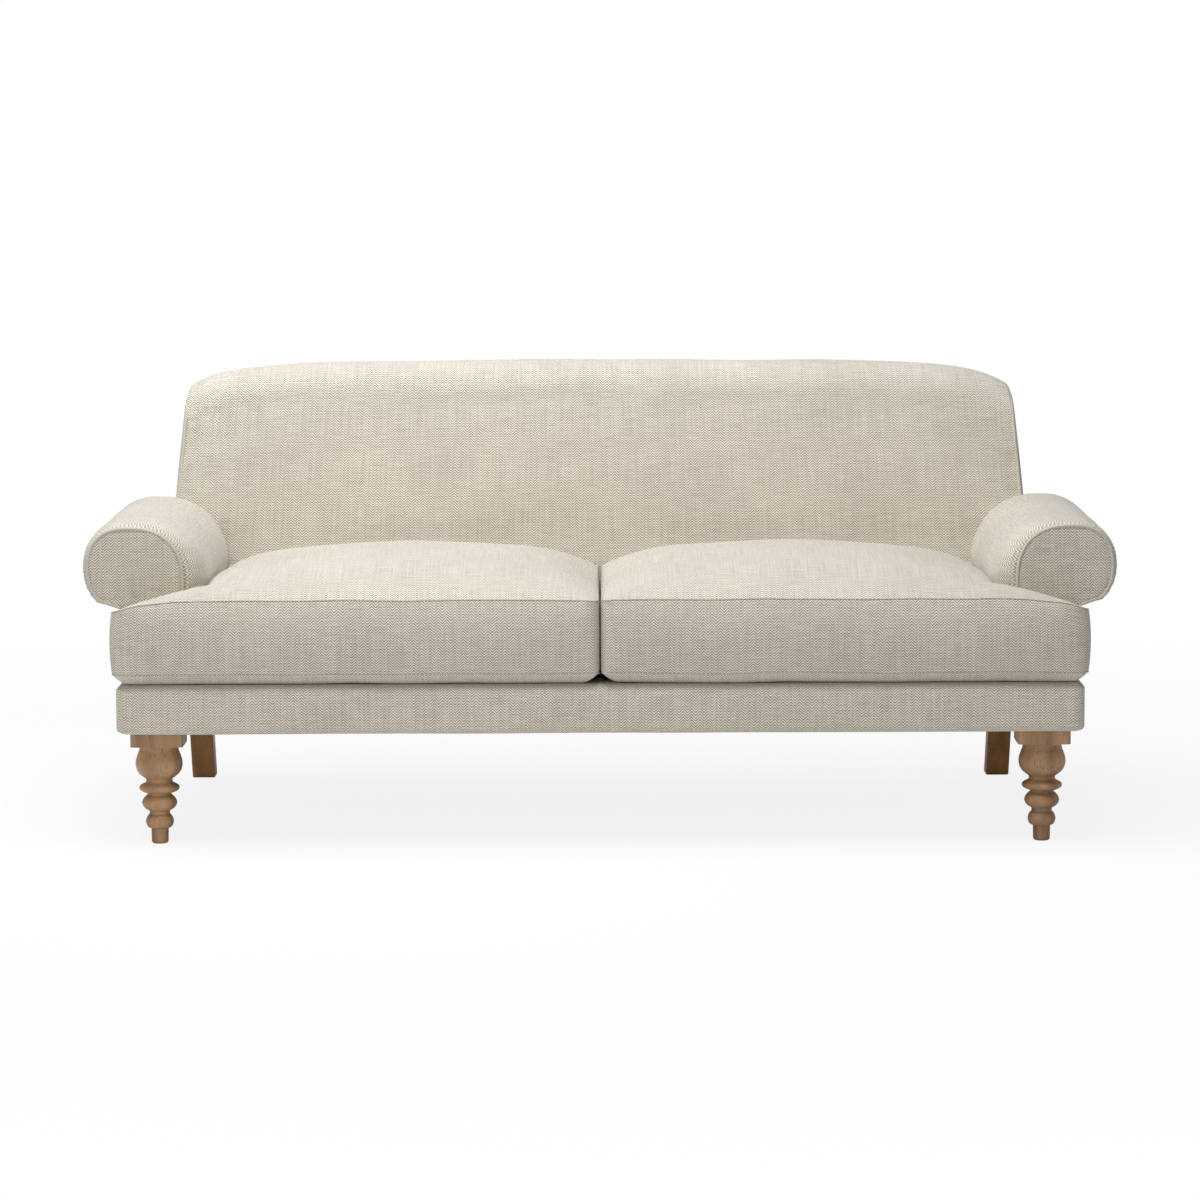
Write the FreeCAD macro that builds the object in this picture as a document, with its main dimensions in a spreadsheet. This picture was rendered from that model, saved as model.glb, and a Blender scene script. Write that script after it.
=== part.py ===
import FreeCAD, Part
import math
import os
import Sketcher
from FreeCAD import Placement, Rotation, Vector

# English roll arm sofa with two loose T shaped seat cushions, turned front legs and a tight rolled back.
# X runs along the sofa, the front faces -Y and Z is up. The origin is on the floor, under the middle.
# Left and right are as seen from the front.

document = FreeCAD.newDocument("roll_arm_sofa")
sheet = document.addObject("Spreadsheet::Sheet", "sizes")
SIDES = {"left": -1, "right": 1}
nodes = {}
sheet_rows = list(range(1, 400))


class Size:
    """A length or angle together with the sheet formula that gives it."""

    def __init__(self, number, formula):
        self.number = number
        self.formula = formula

    def __float__(self):
        return float(self.number)

    def combine(self, other, sign):
        """The sum of this size and another, or their difference when the sign is minus."""
        if not isinstance(other, Size):
            other = Size(other, str(other))
        step = 1 if sign == "+" else -1
        return Size(self.number + step * other.number, f"({self.formula} {sign} {other.formula})")

    def __add__(self, other):
        return self.combine(other, "+")

    def __sub__(self, other):
        return self.combine(other, "-")

    def __mul__(self, factor):
        return Size(self.number * factor, f"({self.formula} * {factor})")

    def __truediv__(self, factor):
        return Size(self.number / factor, f"({self.formula} / {factor})")

    def __neg__(self):
        return self * -1


def size(name, number):
    """Write one driving dimension into the next row of the sheet and give it back as a Size."""
    row = sheet_rows.pop(0)
    sheet.set(f"A{row}", name)
    sheet.set(f"B{row}", str(number))
    sheet.setAlias(f"B{row}", name)
    return Size(number, f"sizes.{name}")


# Overall sizes and the fits between soft and hard pieces
overall_depth = size("overall_depth", 994)
overall_height = size("overall_height", 922)
lay_gap = size("lay_gap", 0.3)
cover_cloth = size("cover_cloth", 3)

# Base frame
leg_height = size("leg_height", 227)
rail_height = size("rail_height", 80)
rail_thickness = size("rail_thickness", 28)
side_half_width = size("side_half_width", 957)
side_panel_thickness = size("side_panel_thickness", 7)
border_height = size("border_height", 97)
border_proud = size("border_proud", 3)
border_padding = size("border_padding", 24)
border_round = size("border_round", 26)
cushion_overhang = size("cushion_overhang", 5)
facing_set_back = size("facing_set_back", 125)
rear_panel_thickness = size("rear_panel_thickness", 6)
rear_panel_set_in = size("rear_panel_set_in", 107)
spring_rail_set_in = size("spring_rail_set_in", 186)
spring_rail_thickness = size("spring_rail_thickness", 36)
spring_rail_height = size("spring_rail_height", 45)
cross_rail_height = size("cross_rail_height", 34)
cross_rail_spacing = size("cross_rail_spacing", 600)
front_block_leg = size("front_block_leg", 140)
rear_block_leg = size("rear_block_leg", 120)
corner_block_height = size("corner_block_height", 50)

front_y = -overall_depth / 2
rear_y = overall_depth / 2
rail_top = leg_height + rail_height
deck_top = leg_height + border_height
border_front_y = front_y + cushion_overhang
rail_front_y = border_front_y + cover_cloth + border_padding
rail_back_y = rail_front_y + rail_thickness
facing_y = front_y + facing_set_back
rear_panel_y = rear_y - rear_panel_set_in
rear_rail_y = rear_panel_y - rear_panel_thickness - rail_thickness
frame_half_width = side_half_width - side_panel_thickness
border_half_width = side_half_width + border_proud
side_rail_x = frame_half_width - rail_thickness
spring_rail_y = rear_rail_y - spring_rail_set_in


def bind(item, name, value):
    """Tie a property of a document object to the sheet."""
    item.setExpression(name, value.formula)


def move(item, x=None, y=None, z=None):
    """Tie the place of a document object to the sheet."""
    for axis, value in (("x", x), ("y", y), ("z", z)):
        if value is not None:
            bind(item, f"Placement.Base.{axis}", value)
    return item


def keep(name, item):
    """Register a finished piece under its own name."""
    item.Label = name
    nodes[name] = item
    return item


def block(name, corner, extent):
    """A squared piece of timber or card: its lowest corner and its three sizes."""
    box = document.addObject("Part::Box", name)
    for prop, value in zip(("Length", "Width", "Height"), extent):
        bind(box, prop, value)
    return move(box, *corner)


def span_block(name, half_width, y, z, width, height):
    """A squared piece that runs across the sofa, the same to both sides of the middle."""
    return block(name, (-half_width, y, z), (half_width * 2, width, height))


def side_x(side, inner, width):
    """The lower X of a piece on one side that starts at the distance inner from the middle."""
    return inner if SIDES[side] > 0 else -(inner + width)


def rod(name, radius, length, x, y, z):
    """An upright round rod."""
    cylinder = document.addObject("Part::Cylinder", name)
    bind(cylinder, "Radius", radius)
    bind(cylinder, "Height", length)
    return move(cylinder, x, y, z)


def group(name, items):
    """Several like pieces as one node of separate solids."""
    compound = document.addObject("Part::Compound", name)
    compound.Links = items
    return keep(name, compound)


def cut(name, base, tool):
    """The base piece with the tool's shape taken out of it."""
    result = document.addObject("Part::Cut", name)
    result.Base = base
    result.Tool = tool
    return result


def origin_plane(body, role):
    return next(f for f in body.Origin.OriginFeatures if f.Role == role)


def outline(body, role, steps):
    """A closed sketch on one of the body's planes.

    Each step is the end point of an edge: (u, v) for a straight edge, or (u, v, through u, through v)
    for an arc that passes through a third point. Every point is tied to the sheet.
    """
    sketch = body.newObject("Sketcher::SketchObject", body.Name + "_outline")
    sketch.AttachmentSupport = (origin_plane(body, role), [""])
    sketch.MapMode = "FlatFace"
    ends = [(step[0], step[1]) for step in steps]

    def pin(geometry, point, u, v):
        for kind, value in (("DistanceX", u), ("DistanceY", v)):
            index = sketch.addConstraint(Sketcher.Constraint(kind, -1, 1, geometry, point, float(value)))
            if isinstance(value, Size):
                sketch.setExpression(f"Constraints[{index}]", value.formula)

    def at(u, v):
        return Vector(float(u), float(v), 0)

    for index, step in enumerate(steps):
        start = ends[index - 1]
        if len(step) == 2:
            edge = sketch.addGeometry(Part.LineSegment(at(*start), at(*ends[index])), False)
            pin(edge, 1, *start)
            pin(edge, 2, *ends[index])
            continue
        through = at(step[2], step[3])
        finish = at(*ends[index])
        circle = Part.Circle(at(*start), through, finish)
        turns_left = (through - at(*start)).cross(finish - at(*start)).z > 0
        first, last = (1, 2) if turns_left else (2, 1)
        limits = [math.atan2(p.y, p.x) for p in (at(*start) - circle.Center, finish - circle.Center)]
        full = Part.Circle(circle.Center, Vector(0, 0, 1), circle.Radius)
        edge = sketch.addGeometry(Part.ArcOfCircle(full, limits[first - 1], limits[last - 1]), False)
        pin(edge, first, *start)
        pin(edge, last, *ends[index])
        middle = sketch.addGeometry(Part.Point(through), True)
        sketch.addConstraint(Sketcher.Constraint("PointOnObject", middle, 1, edge))
        pin(middle, 1, step[2], step[3])
    return sketch


def plate(name, role, steps, thickness):
    """A flat piece of even thickness, half to each side of its outline's plane."""
    body = document.addObject("PartDesign::Body", name)
    sketch = outline(body, role, steps)
    pad = body.newObject("PartDesign::Pad", name + "_pad")
    pad.Profile = sketch
    bind(pad, "Length", thickness)
    pad.Midplane = True
    sketch.Visibility = False
    return body


# Turned front legs: square block, ball, disc, two bulbs and a peg foot, turned from one square blank
leg_block_width = size("leg_block_width", 104)
leg_set_in = size("leg_set_in", 79)
leg_axis_set_back = size("leg_axis_set_back", 75)
peg_radius = size("peg_radius", 17)
peg_height = size("peg_height", 31)
peg_rounding = size("peg_rounding", 4)
low_bulb_radius = size("low_bulb_radius", 28)
low_bulb_height = size("low_bulb_height", 27)
low_neck_radius = size("low_neck_radius", 20.3)
low_neck_height = size("low_neck_height", 8)
bulb_radius = size("bulb_radius", 35.4)
bulb_height = size("bulb_height", 32)
bulb_neck_radius = size("bulb_neck_radius", 23.5)
bulb_neck_height = size("bulb_neck_height", 3)
disc_radius = size("disc_radius", 40.5)
disc_height = size("disc_height", 21.5)
disc_top_radius = size("disc_top_radius", 28.5)
cove_radius = size("cove_radius", 25.8)
cove_height = size("cove_height", 11.5)
ball_bottom_radius = size("ball_bottom_radius", 32)
ball_radius = size("ball_radius", 47.2)
ball_height = size("ball_height", 53)
ball_top_radius = size("ball_top_radius", 39)
shoulder_height = size("shoulder_height", 12)
leg_bolt_radius = size("leg_bolt_radius", 5)
leg_bolt_depth = size("leg_bolt_depth", 36)
bolt_fit = size("bolt_fit", 0.1)
nut_radius = size("nut_radius", 9)
nut_height = size("nut_height", 8)

leg_axis_x = border_half_width - leg_set_in
leg_axis_y = front_y + leg_axis_set_back
NOUGHT = Size(0, "0")
peg_top = peg_height
low_bulb_top = peg_top + low_bulb_height
low_neck_top = low_bulb_top + low_neck_height
bulb_top = low_neck_top + bulb_height
bulb_neck_top = bulb_top + bulb_neck_height
disc_top = bulb_neck_top + disc_height
cove_top = disc_top + cove_height
ball_top = cove_top + ball_height
shoulder_top = ball_top + shoulder_height
block_half = leg_block_width / 2
blank_radius = block_half * 1.5


def bead(start, end, belly, facets):
    """The steps of a turned bead or cove between two points of the profile, in even facets.

    The radius follows half a sine wave out to the belly, and the height half a cosine wave.
    """
    (start_radius, start_z), (end_radius, end_z) = start, end
    bulge = belly - (start_radius + end_radius) / 2
    steps = []
    for facet in range(1, facets):
        turn = math.pi * facet / facets
        base = start_radius + (end_radius - start_radius) * round(facet / facets, 4)
        height = (end_z - start_z) * round((1 - math.cos(turn)) / 2, 4)
        steps.append((base + bulge * round(math.sin(turn), 4), start_z + height))
    return steps + [end]


TURNING = [
    (NOUGHT, NOUGHT),
    (peg_radius - peg_rounding, NOUGHT),
    (peg_radius, peg_rounding),
    (peg_radius, peg_top),
    (low_neck_radius, peg_top),
]
for next_end, belly, facets in (
    ((low_neck_radius, low_bulb_top), low_bulb_radius, 4),
    ((low_neck_radius, low_neck_top), low_neck_radius, 1),
    ((bulb_neck_radius, bulb_top), bulb_radius, 4),
    ((bulb_neck_radius, bulb_neck_top), bulb_neck_radius, 1),
    ((disc_top_radius, disc_top), disc_radius, 4),
    ((ball_bottom_radius, cove_top), cove_radius, 2),
    ((ball_top_radius, ball_top), ball_radius, 4),
    ((block_half, shoulder_top), ball_top_radius, 2),
):
    TURNING += bead(TURNING[-1], next_end, belly, facets)
TURNING += [
    (blank_radius, shoulder_top + shoulder_height / 2),
    (blank_radius, leg_height),
    (NOUGHT, leg_height),
]


def bolt_hole(name, x, y, depth):
    """The round hole for a leg's bolt, up from a depth below the frame."""
    length = depth + corner_block_height + nut_height
    return rod(name, leg_bolt_radius + bolt_fit, length, x, y, leg_height - depth)


def front_leg(side):
    name = f"front_leg_{side}"
    body = document.addObject("PartDesign::Body", name + "_turning")
    profile = outline(body, "XZ_Plane", TURNING)
    turning = body.newObject("PartDesign::Revolution", name + "_revolution")
    turning.Profile = profile
    turning.ReferenceAxis = (profile, ["V_Axis"])
    turning.Angle = 360
    document.recompute()
    volume_before = body.Shape.Volume
    squares = body.newObject("Sketcher::SketchObject", name + "_square")
    squares.AttachmentSupport = (origin_plane(body, "XY_Plane"), [""])
    squares.MapMode = "FlatFace"
    half = float(block_half)
    corners = [Vector(half * i, half * j, 0) for i, j in ((1, 1), (-1, 1), (-1, -1), (1, -1))]
    lines = [squares.addGeometry(Part.LineSegment(corners[i], corners[(i + 1) % 4]), False) for i in range(4)]
    for i, line in enumerate(lines):
        squares.addConstraint(Sketcher.Constraint("Coincident", line, 2, lines[(i + 1) % 4], 1))
    for i in (0, 2):
        squares.addConstraint(Sketcher.Constraint("Horizontal", lines[i]))
        squares.addConstraint(Sketcher.Constraint("Vertical", lines[i + 1]))
    squares.addConstraint(Sketcher.Constraint("Symmetric", lines[0], 1, lines[2], 1, -1, 1))
    for i, kind in ((0, "DistanceX"), (1, "DistanceY")):
        width = squares.addConstraint(Sketcher.Constraint(kind, lines[i], 2, lines[i], 1, 2 * half))
        squares.setExpression(f"Constraints[{width}]", leg_block_width.formula)
    rim = squares.addGeometry(Part.Circle(Vector(0, 0, 0), Vector(0, 0, 1), 3 * half), False)
    squares.addConstraint(Sketcher.Constraint("Coincident", rim, 3, -1, 1))
    radius = squares.addConstraint(Sketcher.Constraint("Radius", rim, 3 * half))
    squares.setExpression(f"Constraints[{radius}]", (leg_block_width * 1.5).formula)
    trim = body.newObject("PartDesign::Pocket", name + "_trim")
    trim.Profile = squares
    trim.Type = "ThroughAll"
    trim.Reversed = True
    document.recompute()
    if not body.Shape.Volume < volume_before:
        raise RuntimeError(f"{name}: the blank was not squared")
    x = leg_axis_x * SIDES[side]
    move(body, x, leg_axis_y)
    return cut(name, body, bolt_hole(name + "_hole", x, leg_axis_y, leg_bolt_depth))


group("front_legs", [front_leg(side) for side in SIDES])

# Square rear legs, raked back
rear_leg_width = size("rear_leg_width", 49.5)
rear_leg_depth = size("rear_leg_depth", 56)
rear_leg_set_in = size("rear_leg_set_in", 86.5)
rear_leg_rake = size("rear_leg_rake", 116)

RAKED = [
    (rear_y - rear_leg_depth, NOUGHT),
    (rear_y, NOUGHT),
    (rear_y - rear_leg_rake, leg_height),
    (rear_y - rear_leg_rake - rear_leg_depth, leg_height),
]
rear_leg_x = side_half_width - rear_leg_set_in
rear_bolt_y = rear_y - rear_leg_rake - rear_leg_depth * 0.62
rear_bolt_depth = leg_bolt_depth / 1.5
for side in SIDES:
    name = f"rear_leg_{side}"
    leg = plate(name + "_raked", "YZ_Plane", RAKED, rear_leg_width)
    x = rear_leg_x * SIDES[side]
    move(leg, x)
    keep(name, cut(name, leg, bolt_hole(name + "_hole", x, rear_bolt_y, rear_bolt_depth)))


def leg_bolt(name, x, y, depth):
    """A leg's bolt: a rod from inside the leg, with a nut on top of the corner block."""
    length = depth + corner_block_height + nut_height
    shank = rod(name + "_shank", leg_bolt_radius, length, x, y, leg_height - depth)
    nut = rod(name + "_nut", nut_radius, nut_height, x, y, leg_height + corner_block_height)
    bolt = document.addObject("Part::Fuse", name)
    bolt.Base = shank
    bolt.Tool = nut
    return bolt


front_bolts = [leg_bolt(f"front_bolt_{s}", leg_axis_x * SIDES[s], leg_axis_y, leg_bolt_depth) for s in SIDES]
rear_bolts = [leg_bolt(f"rear_bolt_{s}", rear_leg_x * SIDES[s], rear_bolt_y, rear_bolt_depth) for s in SIDES]
group("front_leg_bolts", front_bolts)
group("rear_leg_bolts", rear_bolts)

# Seat rails, with the side rails fitted between front and rear
for name, y in (("front_seat_rail", rail_front_y), ("rear_seat_rail", rear_rail_y)):
    keep(name, span_block(name, frame_half_width, y, leg_height, rail_thickness, rail_height))
for side in SIDES:
    corner = (side_x(side, side_rail_x, rail_thickness), rail_back_y, leg_height)
    extent = (rail_thickness, rear_rail_y - rail_back_y, rail_height)
    keep(f"side_seat_rail_{side}", block(f"side_seat_rail_{side}", corner, extent))

spring_rail_z = rail_top - spring_rail_height
spring_rail = span_block(
    "spring_rail", side_rail_x, spring_rail_y, spring_rail_z, spring_rail_thickness, spring_rail_height,
)
keep("spring_rail", spring_rail)
cross_rails = []
for side in SIDES:
    x = side_x(side, cross_rail_spacing / 2 - rail_thickness / 2, rail_thickness)
    corner = (x, rail_back_y, spring_rail_z - cross_rail_height)
    extent = (rail_thickness, rear_rail_y - rail_back_y, cross_rail_height)
    cross_rails.append(block(f"cross_rail_{side}", corner, extent))
group("seat_cross_rails", cross_rails)


def corner_block(name, side, y, y_step, leg):
    """A glued block with a triangular plan in one corner of the frame, bored for the leg's bolt."""
    x = side_rail_x * SIDES[side]
    steps = [(x, y), (x - leg * SIDES[side], y), (x, y + leg * y_step)]
    body = plate(name + "_plan", "XY_Plane", steps, corner_block_height)
    return move(body, z=leg_height + corner_block_height / 2)


blocks = []
for side in SIDES:
    front = corner_block(f"front_block_{side}", side, rail_back_y, 1, front_block_leg)
    rear = corner_block(f"rear_block_{side}", side, rear_rail_y, -1, rear_block_leg)
    front_hole = bolt_hole(f"front_block_hole_{side}", leg_axis_x * SIDES[side], leg_axis_y, leg_bolt_depth)
    rear_hole = bolt_hole(f"rear_block_hole_{side}", rear_leg_x * SIDES[side], rear_bolt_y, rear_bolt_depth)
    blocks.append(cut(f"front_block_{side}", front, front_hole))
    blocks.append(cut(f"rear_block_{side}", rear, rear_hole))
group("corner_blocks", blocks)


def shaped(name, shape):
    """A piece whose curved form is set as a whole."""
    feature = document.addObject("Part::Feature", name)
    feature.Shape = shape
    return keep(name, feature)


def mirrored(shape):
    """The same piece for the other side of the sofa."""
    return shape.mirror(Vector(0, 0, 0), Vector(1, 0, 0))


def both_sides(name, make):
    """A right piece and its mirror image on the left."""
    shape = make()
    shaped(f"{name}_right", shape)
    shaped(f"{name}_left", mirrored(shape))


def closed_face(points):
    return Part.Face(Part.makePolygon(points + points[:1]))


def span(half_width, y_limits, z_limits):
    """A plain box across the sofa, for taking room out of a soft form."""
    corner = Vector(-half_width, y_limits[0], z_limits[0])
    return Part.makeBox(2 * half_width, y_limits[1] - y_limits[0], z_limits[1] - z_limits[0], corner)


# Serpentine seat springs from the front rail to the spring rail, each end held in a folded clip
spring_count = 10
spring_turns = 10
spring_wire = size("spring_wire", 3.6)
spring_width = size("spring_width", 50)
spring_margin = size("spring_margin", 39.7)
spring_end_inset = size("spring_end_inset", 10)
clip_metal = size("clip_metal", 1.2)
clip_length = size("clip_length", 18)
clip_width = size("clip_width", 20)
arm_face_set_in = size("arm_face_set_in", 123)
arm_inner_padding = size("arm_inner_padding", 48)
deck_side_gap = size("deck_side_gap", 1.3)

arm_face_inner_x = side_half_width - arm_face_set_in
deck_half_width = arm_face_inner_x - arm_inner_padding - deck_side_gap
spring_spread = (deck_half_width - spring_margin) * 2
spring_z = rail_top + clip_metal
spring_top = spring_z + spring_wire + clip_metal
spring_start = rail_back_y - spring_end_inset
spring_end = spring_rail_y + spring_end_inset


def ribbon(points, width):
    """The outline of a flat line of even width, mitred at each bend."""
    sides = ([], [])
    for index, point in enumerate(points):
        before = (point - points[index - 1]).normalize() if index else None
        after = (points[index + 1] - point).normalize() if index + 1 < len(points) else None
        before, after = before or after, after or before
        across = Vector(-before.y - after.y, before.x + after.x, 0).normalize()
        reach = width / 2 / across.dot(Vector(-after.y, after.x, 0))
        sides[0].append(point + across * reach)
        sides[1].append(point - across * reach)
    return sides[0] + sides[1][::-1]


def seat_spring(x):
    """One spring wire, snaking from side to side between its two end bars."""
    half = float(spring_width) / 2
    bar = half * 0.6
    pitch = (float(spring_end) - float(spring_start)) / spring_turns
    path = []
    for turn in range(spring_turns + 1):
        way = 1 if turn % 2 else -1
        y = float(spring_start) + turn * pitch
        path.append(Vector(x + way * bar, y, float(spring_z)))
        path.append(Vector(x - way * bar, y, float(spring_z)))
        if turn < spring_turns:
            path.append(Vector(x - way * half, y + pitch / 2, float(spring_z)))
    return closed_face(ribbon(path, float(spring_wire))).extrude(Vector(0, 0, float(spring_wire)))


def spring_clip(x, y):
    """A folded clip over a spring's end bar, nailed to the rail. It opens towards the spring."""
    way = 1 if y < 0 else -1
    fold = float(clip_metal)
    height = float(spring_top) - float(rail_top)
    front = y - float(clip_length) / 2
    corner = Vector(x - float(clip_width) / 2, front, float(rail_top))
    folded = Part.makeBox(float(clip_width), float(clip_length), height, corner)
    slot_corner = Vector(x - float(clip_width), front + way * fold, float(spring_z))
    slot = Part.makeBox(float(clip_width) * 2, float(clip_length), float(spring_wire), slot_corner)
    return folded.cut(slot)


spring_places = [float(spring_spread) * (i / (spring_count - 1) - 0.5) for i in range(spring_count)]
shaped("seat_springs", Part.makeCompound([seat_spring(x) for x in spring_places]))
clip_ends = [float(spring_start), float(spring_end)]
shaped("spring_clips", Part.makeCompound([spring_clip(x, y) for x in spring_places for y in clip_ends]))

# Seat deck: felt pad on the springs and the platform cloth that the cushions rest on, between the arms
deck_pad_z = spring_top + lay_gap
deck_cloth_z = deck_top - cover_cloth
deck_end = spring_rail_y + clip_width
deck_length = deck_end - facing_y
deck_layers = (("seat_deck_pad", deck_pad_z, deck_cloth_z), ("seat_deck_cloth", deck_cloth_z, deck_top))
for name, low, high in deck_layers:
    keep(name, span_block(name, deck_half_width, facing_y, low, deck_length, high - low))


# Front border: the padded bar of the base in front of the arms, and the cloth pulled over it
def border_form(inset, open_ends):
    """The border's bar with rounded front and end edges. With open ends its floor and rear run on."""
    run_on = 10 if open_ends else 0
    half = float(border_half_width) - inset
    front = float(border_front_y) + inset
    top = float(deck_top) - inset
    bar = span(half, (front, float(facing_y) + run_on), (float(leg_height) - run_on, top))
    rounded = []
    for edge in bar.Edges:
        middle = edge.valueAt((edge.FirstParameter + edge.LastParameter) / 2)
        on_front = abs(middle.y - front) < 1e-3
        on_end = abs(abs(middle.x) - half) < 1e-3
        on_top = abs(middle.z - top) < 1e-3
        if on_front + on_end + on_top == 2:
            rounded.append(edge)
    return bar.makeFillet(float(border_round) - inset, rounded)


cloth = float(cover_cloth)
shaped("front_border_cover", border_form(0, False).cut(border_form(cloth, True)))
border_room = [
    span(float(side_rail_x), (float(rail_front_y) + cloth, 0), (float(rail_top), float(deck_pad_z))),
    span(float(side_rail_x), (float(rail_back_y), 0), (0, float(deck_pad_z))),
    span(float(frame_half_width), (float(rail_front_y), 0), (0, float(rail_top))),
]
border_pad = border_form(cloth, False)
for room in border_room:
    border_pad = border_pad.cut(room)
shaped("front_border_pad", border_pad)

# Dust cover: thin cloth tacked under the frame, cut out round the legs
dust_cloth = size("dust_cloth", 1.5)
dust_cover_inset = size("dust_cover_inset", 12)
dust_cut_margin = size("dust_cut_margin", 2)

dust_length = rear_panel_y - rear_panel_thickness - dust_cover_inset * 2 - rail_front_y
dust_cover = span_block(
    "dust_cloth_sheet", frame_half_width - dust_cover_inset, rail_front_y + dust_cover_inset,
    leg_height - dust_cloth, dust_length, dust_cloth,
)
cut_width = leg_block_width * 2
cut_z = leg_height - dust_cloth * 2
front_cut_y = rail_front_y - leg_block_width
front_cut_end = leg_axis_y + block_half + dust_cut_margin
rear_cut_y = rear_y - rear_leg_rake - rear_leg_depth - dust_cut_margin
for side in SIDES:
    front_cut_x = side_x(side, leg_axis_x - block_half - dust_cut_margin, cut_width)
    rear_cut_x = side_x(side, rear_leg_x - rear_leg_width / 2 - dust_cut_margin, cut_width)
    front_cut_size = (cut_width, front_cut_end - front_cut_y, dust_cloth * 4)
    front_cut = block(f"front_cut_{side}", (front_cut_x, front_cut_y, cut_z), front_cut_size)
    rear_cut_size = (cut_width, cut_width, dust_cloth * 4)
    rear_cut = block(f"rear_cut_{side}", (rear_cut_x, rear_cut_y, cut_z), rear_cut_size)
    dust_cover = cut(f"dust_front_{side}", dust_cover, front_cut)
    dust_cover = cut(f"dust_rear_{side}", dust_cover, rear_cut)
keep("dust_cover", dust_cover)

# Tight back: a round roll overhangs the rear, and the inside face leans down and forward from it
back_overhang = size("back_overhang", 26.6712)
back_lean_angle = size("back_lean_angle", 13)
back_roll_radius = size("back_roll_radius", 85)
back_set_in = size("back_set_in", 28)
side_lean_angle = size("side_lean_angle", 4.86)
crown_drop = size("crown_drop", 62)
crown_set_in = size("crown_set_in", 44)
back_pad_thickness = size("back_pad_thickness", 72)
side_facing_thickness = size("side_facing_thickness", 10)
piping_radius = size("piping_radius", 3.2)
CROWN_POWER = 4.8
CROWN_STATIONS = (0, 0.5, 0.7, 0.84, 0.94, 1.06)

back_half_width = side_half_width - back_set_in
crown_reach = back_half_width - crown_set_in
upright_rear = rear_panel_y - rear_panel_thickness
lean = math.radians(float(back_lean_angle))
side_lean = math.radians(float(side_lean_angle))
floor_z = float(deck_top)
back_rear = float(upright_rear)
LEAN_FORMULA = f"{back_lean_angle.formula} * 1 deg"


def scaled(length, number, formula):
    """A length times a plain number that has a sheet formula of its own, such as a slope."""
    return Size(float(length) * number, f"({length.formula} * {formula})")


face_top_z = overall_height - scaled(back_roll_radius, 1 - math.sin(lean), f"(1 - sin({LEAN_FORMULA}))")
roll_to_face = scaled(back_roll_radius, 1 + math.cos(lean), f"(1 + cos({LEAN_FORMULA}))")
face_top_y = upright_rear + back_overhang - roll_to_face


def back_face_y(z):
    """How far back the inside back lies at a height."""
    return float(face_top_y) - (float(face_top_z) - z) * math.tan(lean)


def crown_height(x):
    """The top of the back at a distance from the middle, lower towards the ends."""
    return float(overall_height) - float(crown_drop) * (abs(x) / float(crown_reach)) ** CROWN_POWER


def back_profile(x, top, inset, lowest, side_slope=0):
    """The back's side view as a wire: leaning face, roll over the top and upright rear.

    With a side slope the wire leans in with the back's side plane instead of standing upright.
    """
    radius = float(back_roll_radius) - inset
    centre_z = top - float(back_roll_radius)
    face_z = centre_z + float(back_roll_radius) * math.sin(lean)
    centre_y = back_face_y(face_z) + float(back_roll_radius) * math.cos(lean)
    rear = back_rear - inset
    rear_turn = -math.acos((rear - centre_y) / radius)

    def at(y, z):
        return Vector(x - (z - floor_z) * side_slope, y, z)

    def roll(turn):
        return at(centre_y + radius * math.cos(turn), centre_z + radius * math.sin(turn))

    face_turn = math.pi - lean
    start = roll(face_turn)
    foot = at(start.y - (start.z - lowest) * math.tan(lean), lowest)
    heel = at(rear, lowest)
    crest = roll(math.pi / 2)
    end = roll(rear_turn)
    return Part.Wire([
        Part.LineSegment(foot, start).toShape(),
        Part.Arc(start, roll((face_turn + math.pi / 2) / 2), crest).toShape(),
        Part.Arc(crest, roll((rear_turn + math.pi / 2) / 2), end).toShape(),
        Part.LineSegment(end, heel).toShape(),
        Part.LineSegment(heel, foot).toShape(),
    ])


def back_form(inset, lowest):
    """The whole back as one loft along the sofa, before its sides are cut."""
    half = [float(crown_reach) * f for f in CROWN_STATIONS]
    places = [-x for x in half[:0:-1]] + half
    wires = [back_profile(x, crown_height(x), inset, lowest) for x in places]
    return Part.makeLoft(wires, True, True)


def side_wedge(inset):
    """The room between the two leaning side planes of the back."""
    top = float(overall_height) * 1.2
    bottom = float(leg_height)

    def plane_x(z):
        return float(back_half_width) - (z - floor_z) * math.tan(side_lean) - inset / math.cos(side_lean)

    front = -float(overall_depth)
    ends = ((-1, bottom), (1, bottom), (1, top), (-1, top))
    corners = [Vector(sign * plane_x(z), front, z) for sign, z in ends]
    return closed_face(corners).extrude(Vector(0, -2 * front, 0))


gap = float(lay_gap)
facing_thickness = float(side_facing_thickness)
piping = float(piping_radius)
cover_side = facing_thickness + gap

# Back frame: shaped uprights on the seat rails, a crowned top rail and webbing on their front edge
upright_thickness = size("upright_thickness", 24)
upright_spacing = size("upright_spacing", 580)
upright_set_in = size("upright_set_in", 89)
top_rail_thickness = size("top_rail_thickness", 28)
top_rail_cover = size("top_rail_cover", 72)
top_rail_height = size("top_rail_height", 68)
web_width = size("web_width", 50)
web_thickness = size("web_thickness", 2)
WEB_ROWS = 4
WEB_COLUMNS = 6

outer_upright_x = back_half_width - upright_set_in
top_rail_end = overall_height - crown_drop - top_rail_cover
upright_top = top_rail_end - top_rail_height


def frame_face_y(z):
    """The front edge of the back frame, as a size tied to the sheet."""
    fall = scaled(face_top_z - z, math.tan(lean), f"tan({LEAN_FORMULA})")
    depth = back_pad_thickness + web_thickness * 2 + lay_gap
    shift = scaled(depth, 1 / math.cos(lean), f"(1 / cos({LEAN_FORMULA}))")
    return face_top_y - fall + shift


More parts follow.
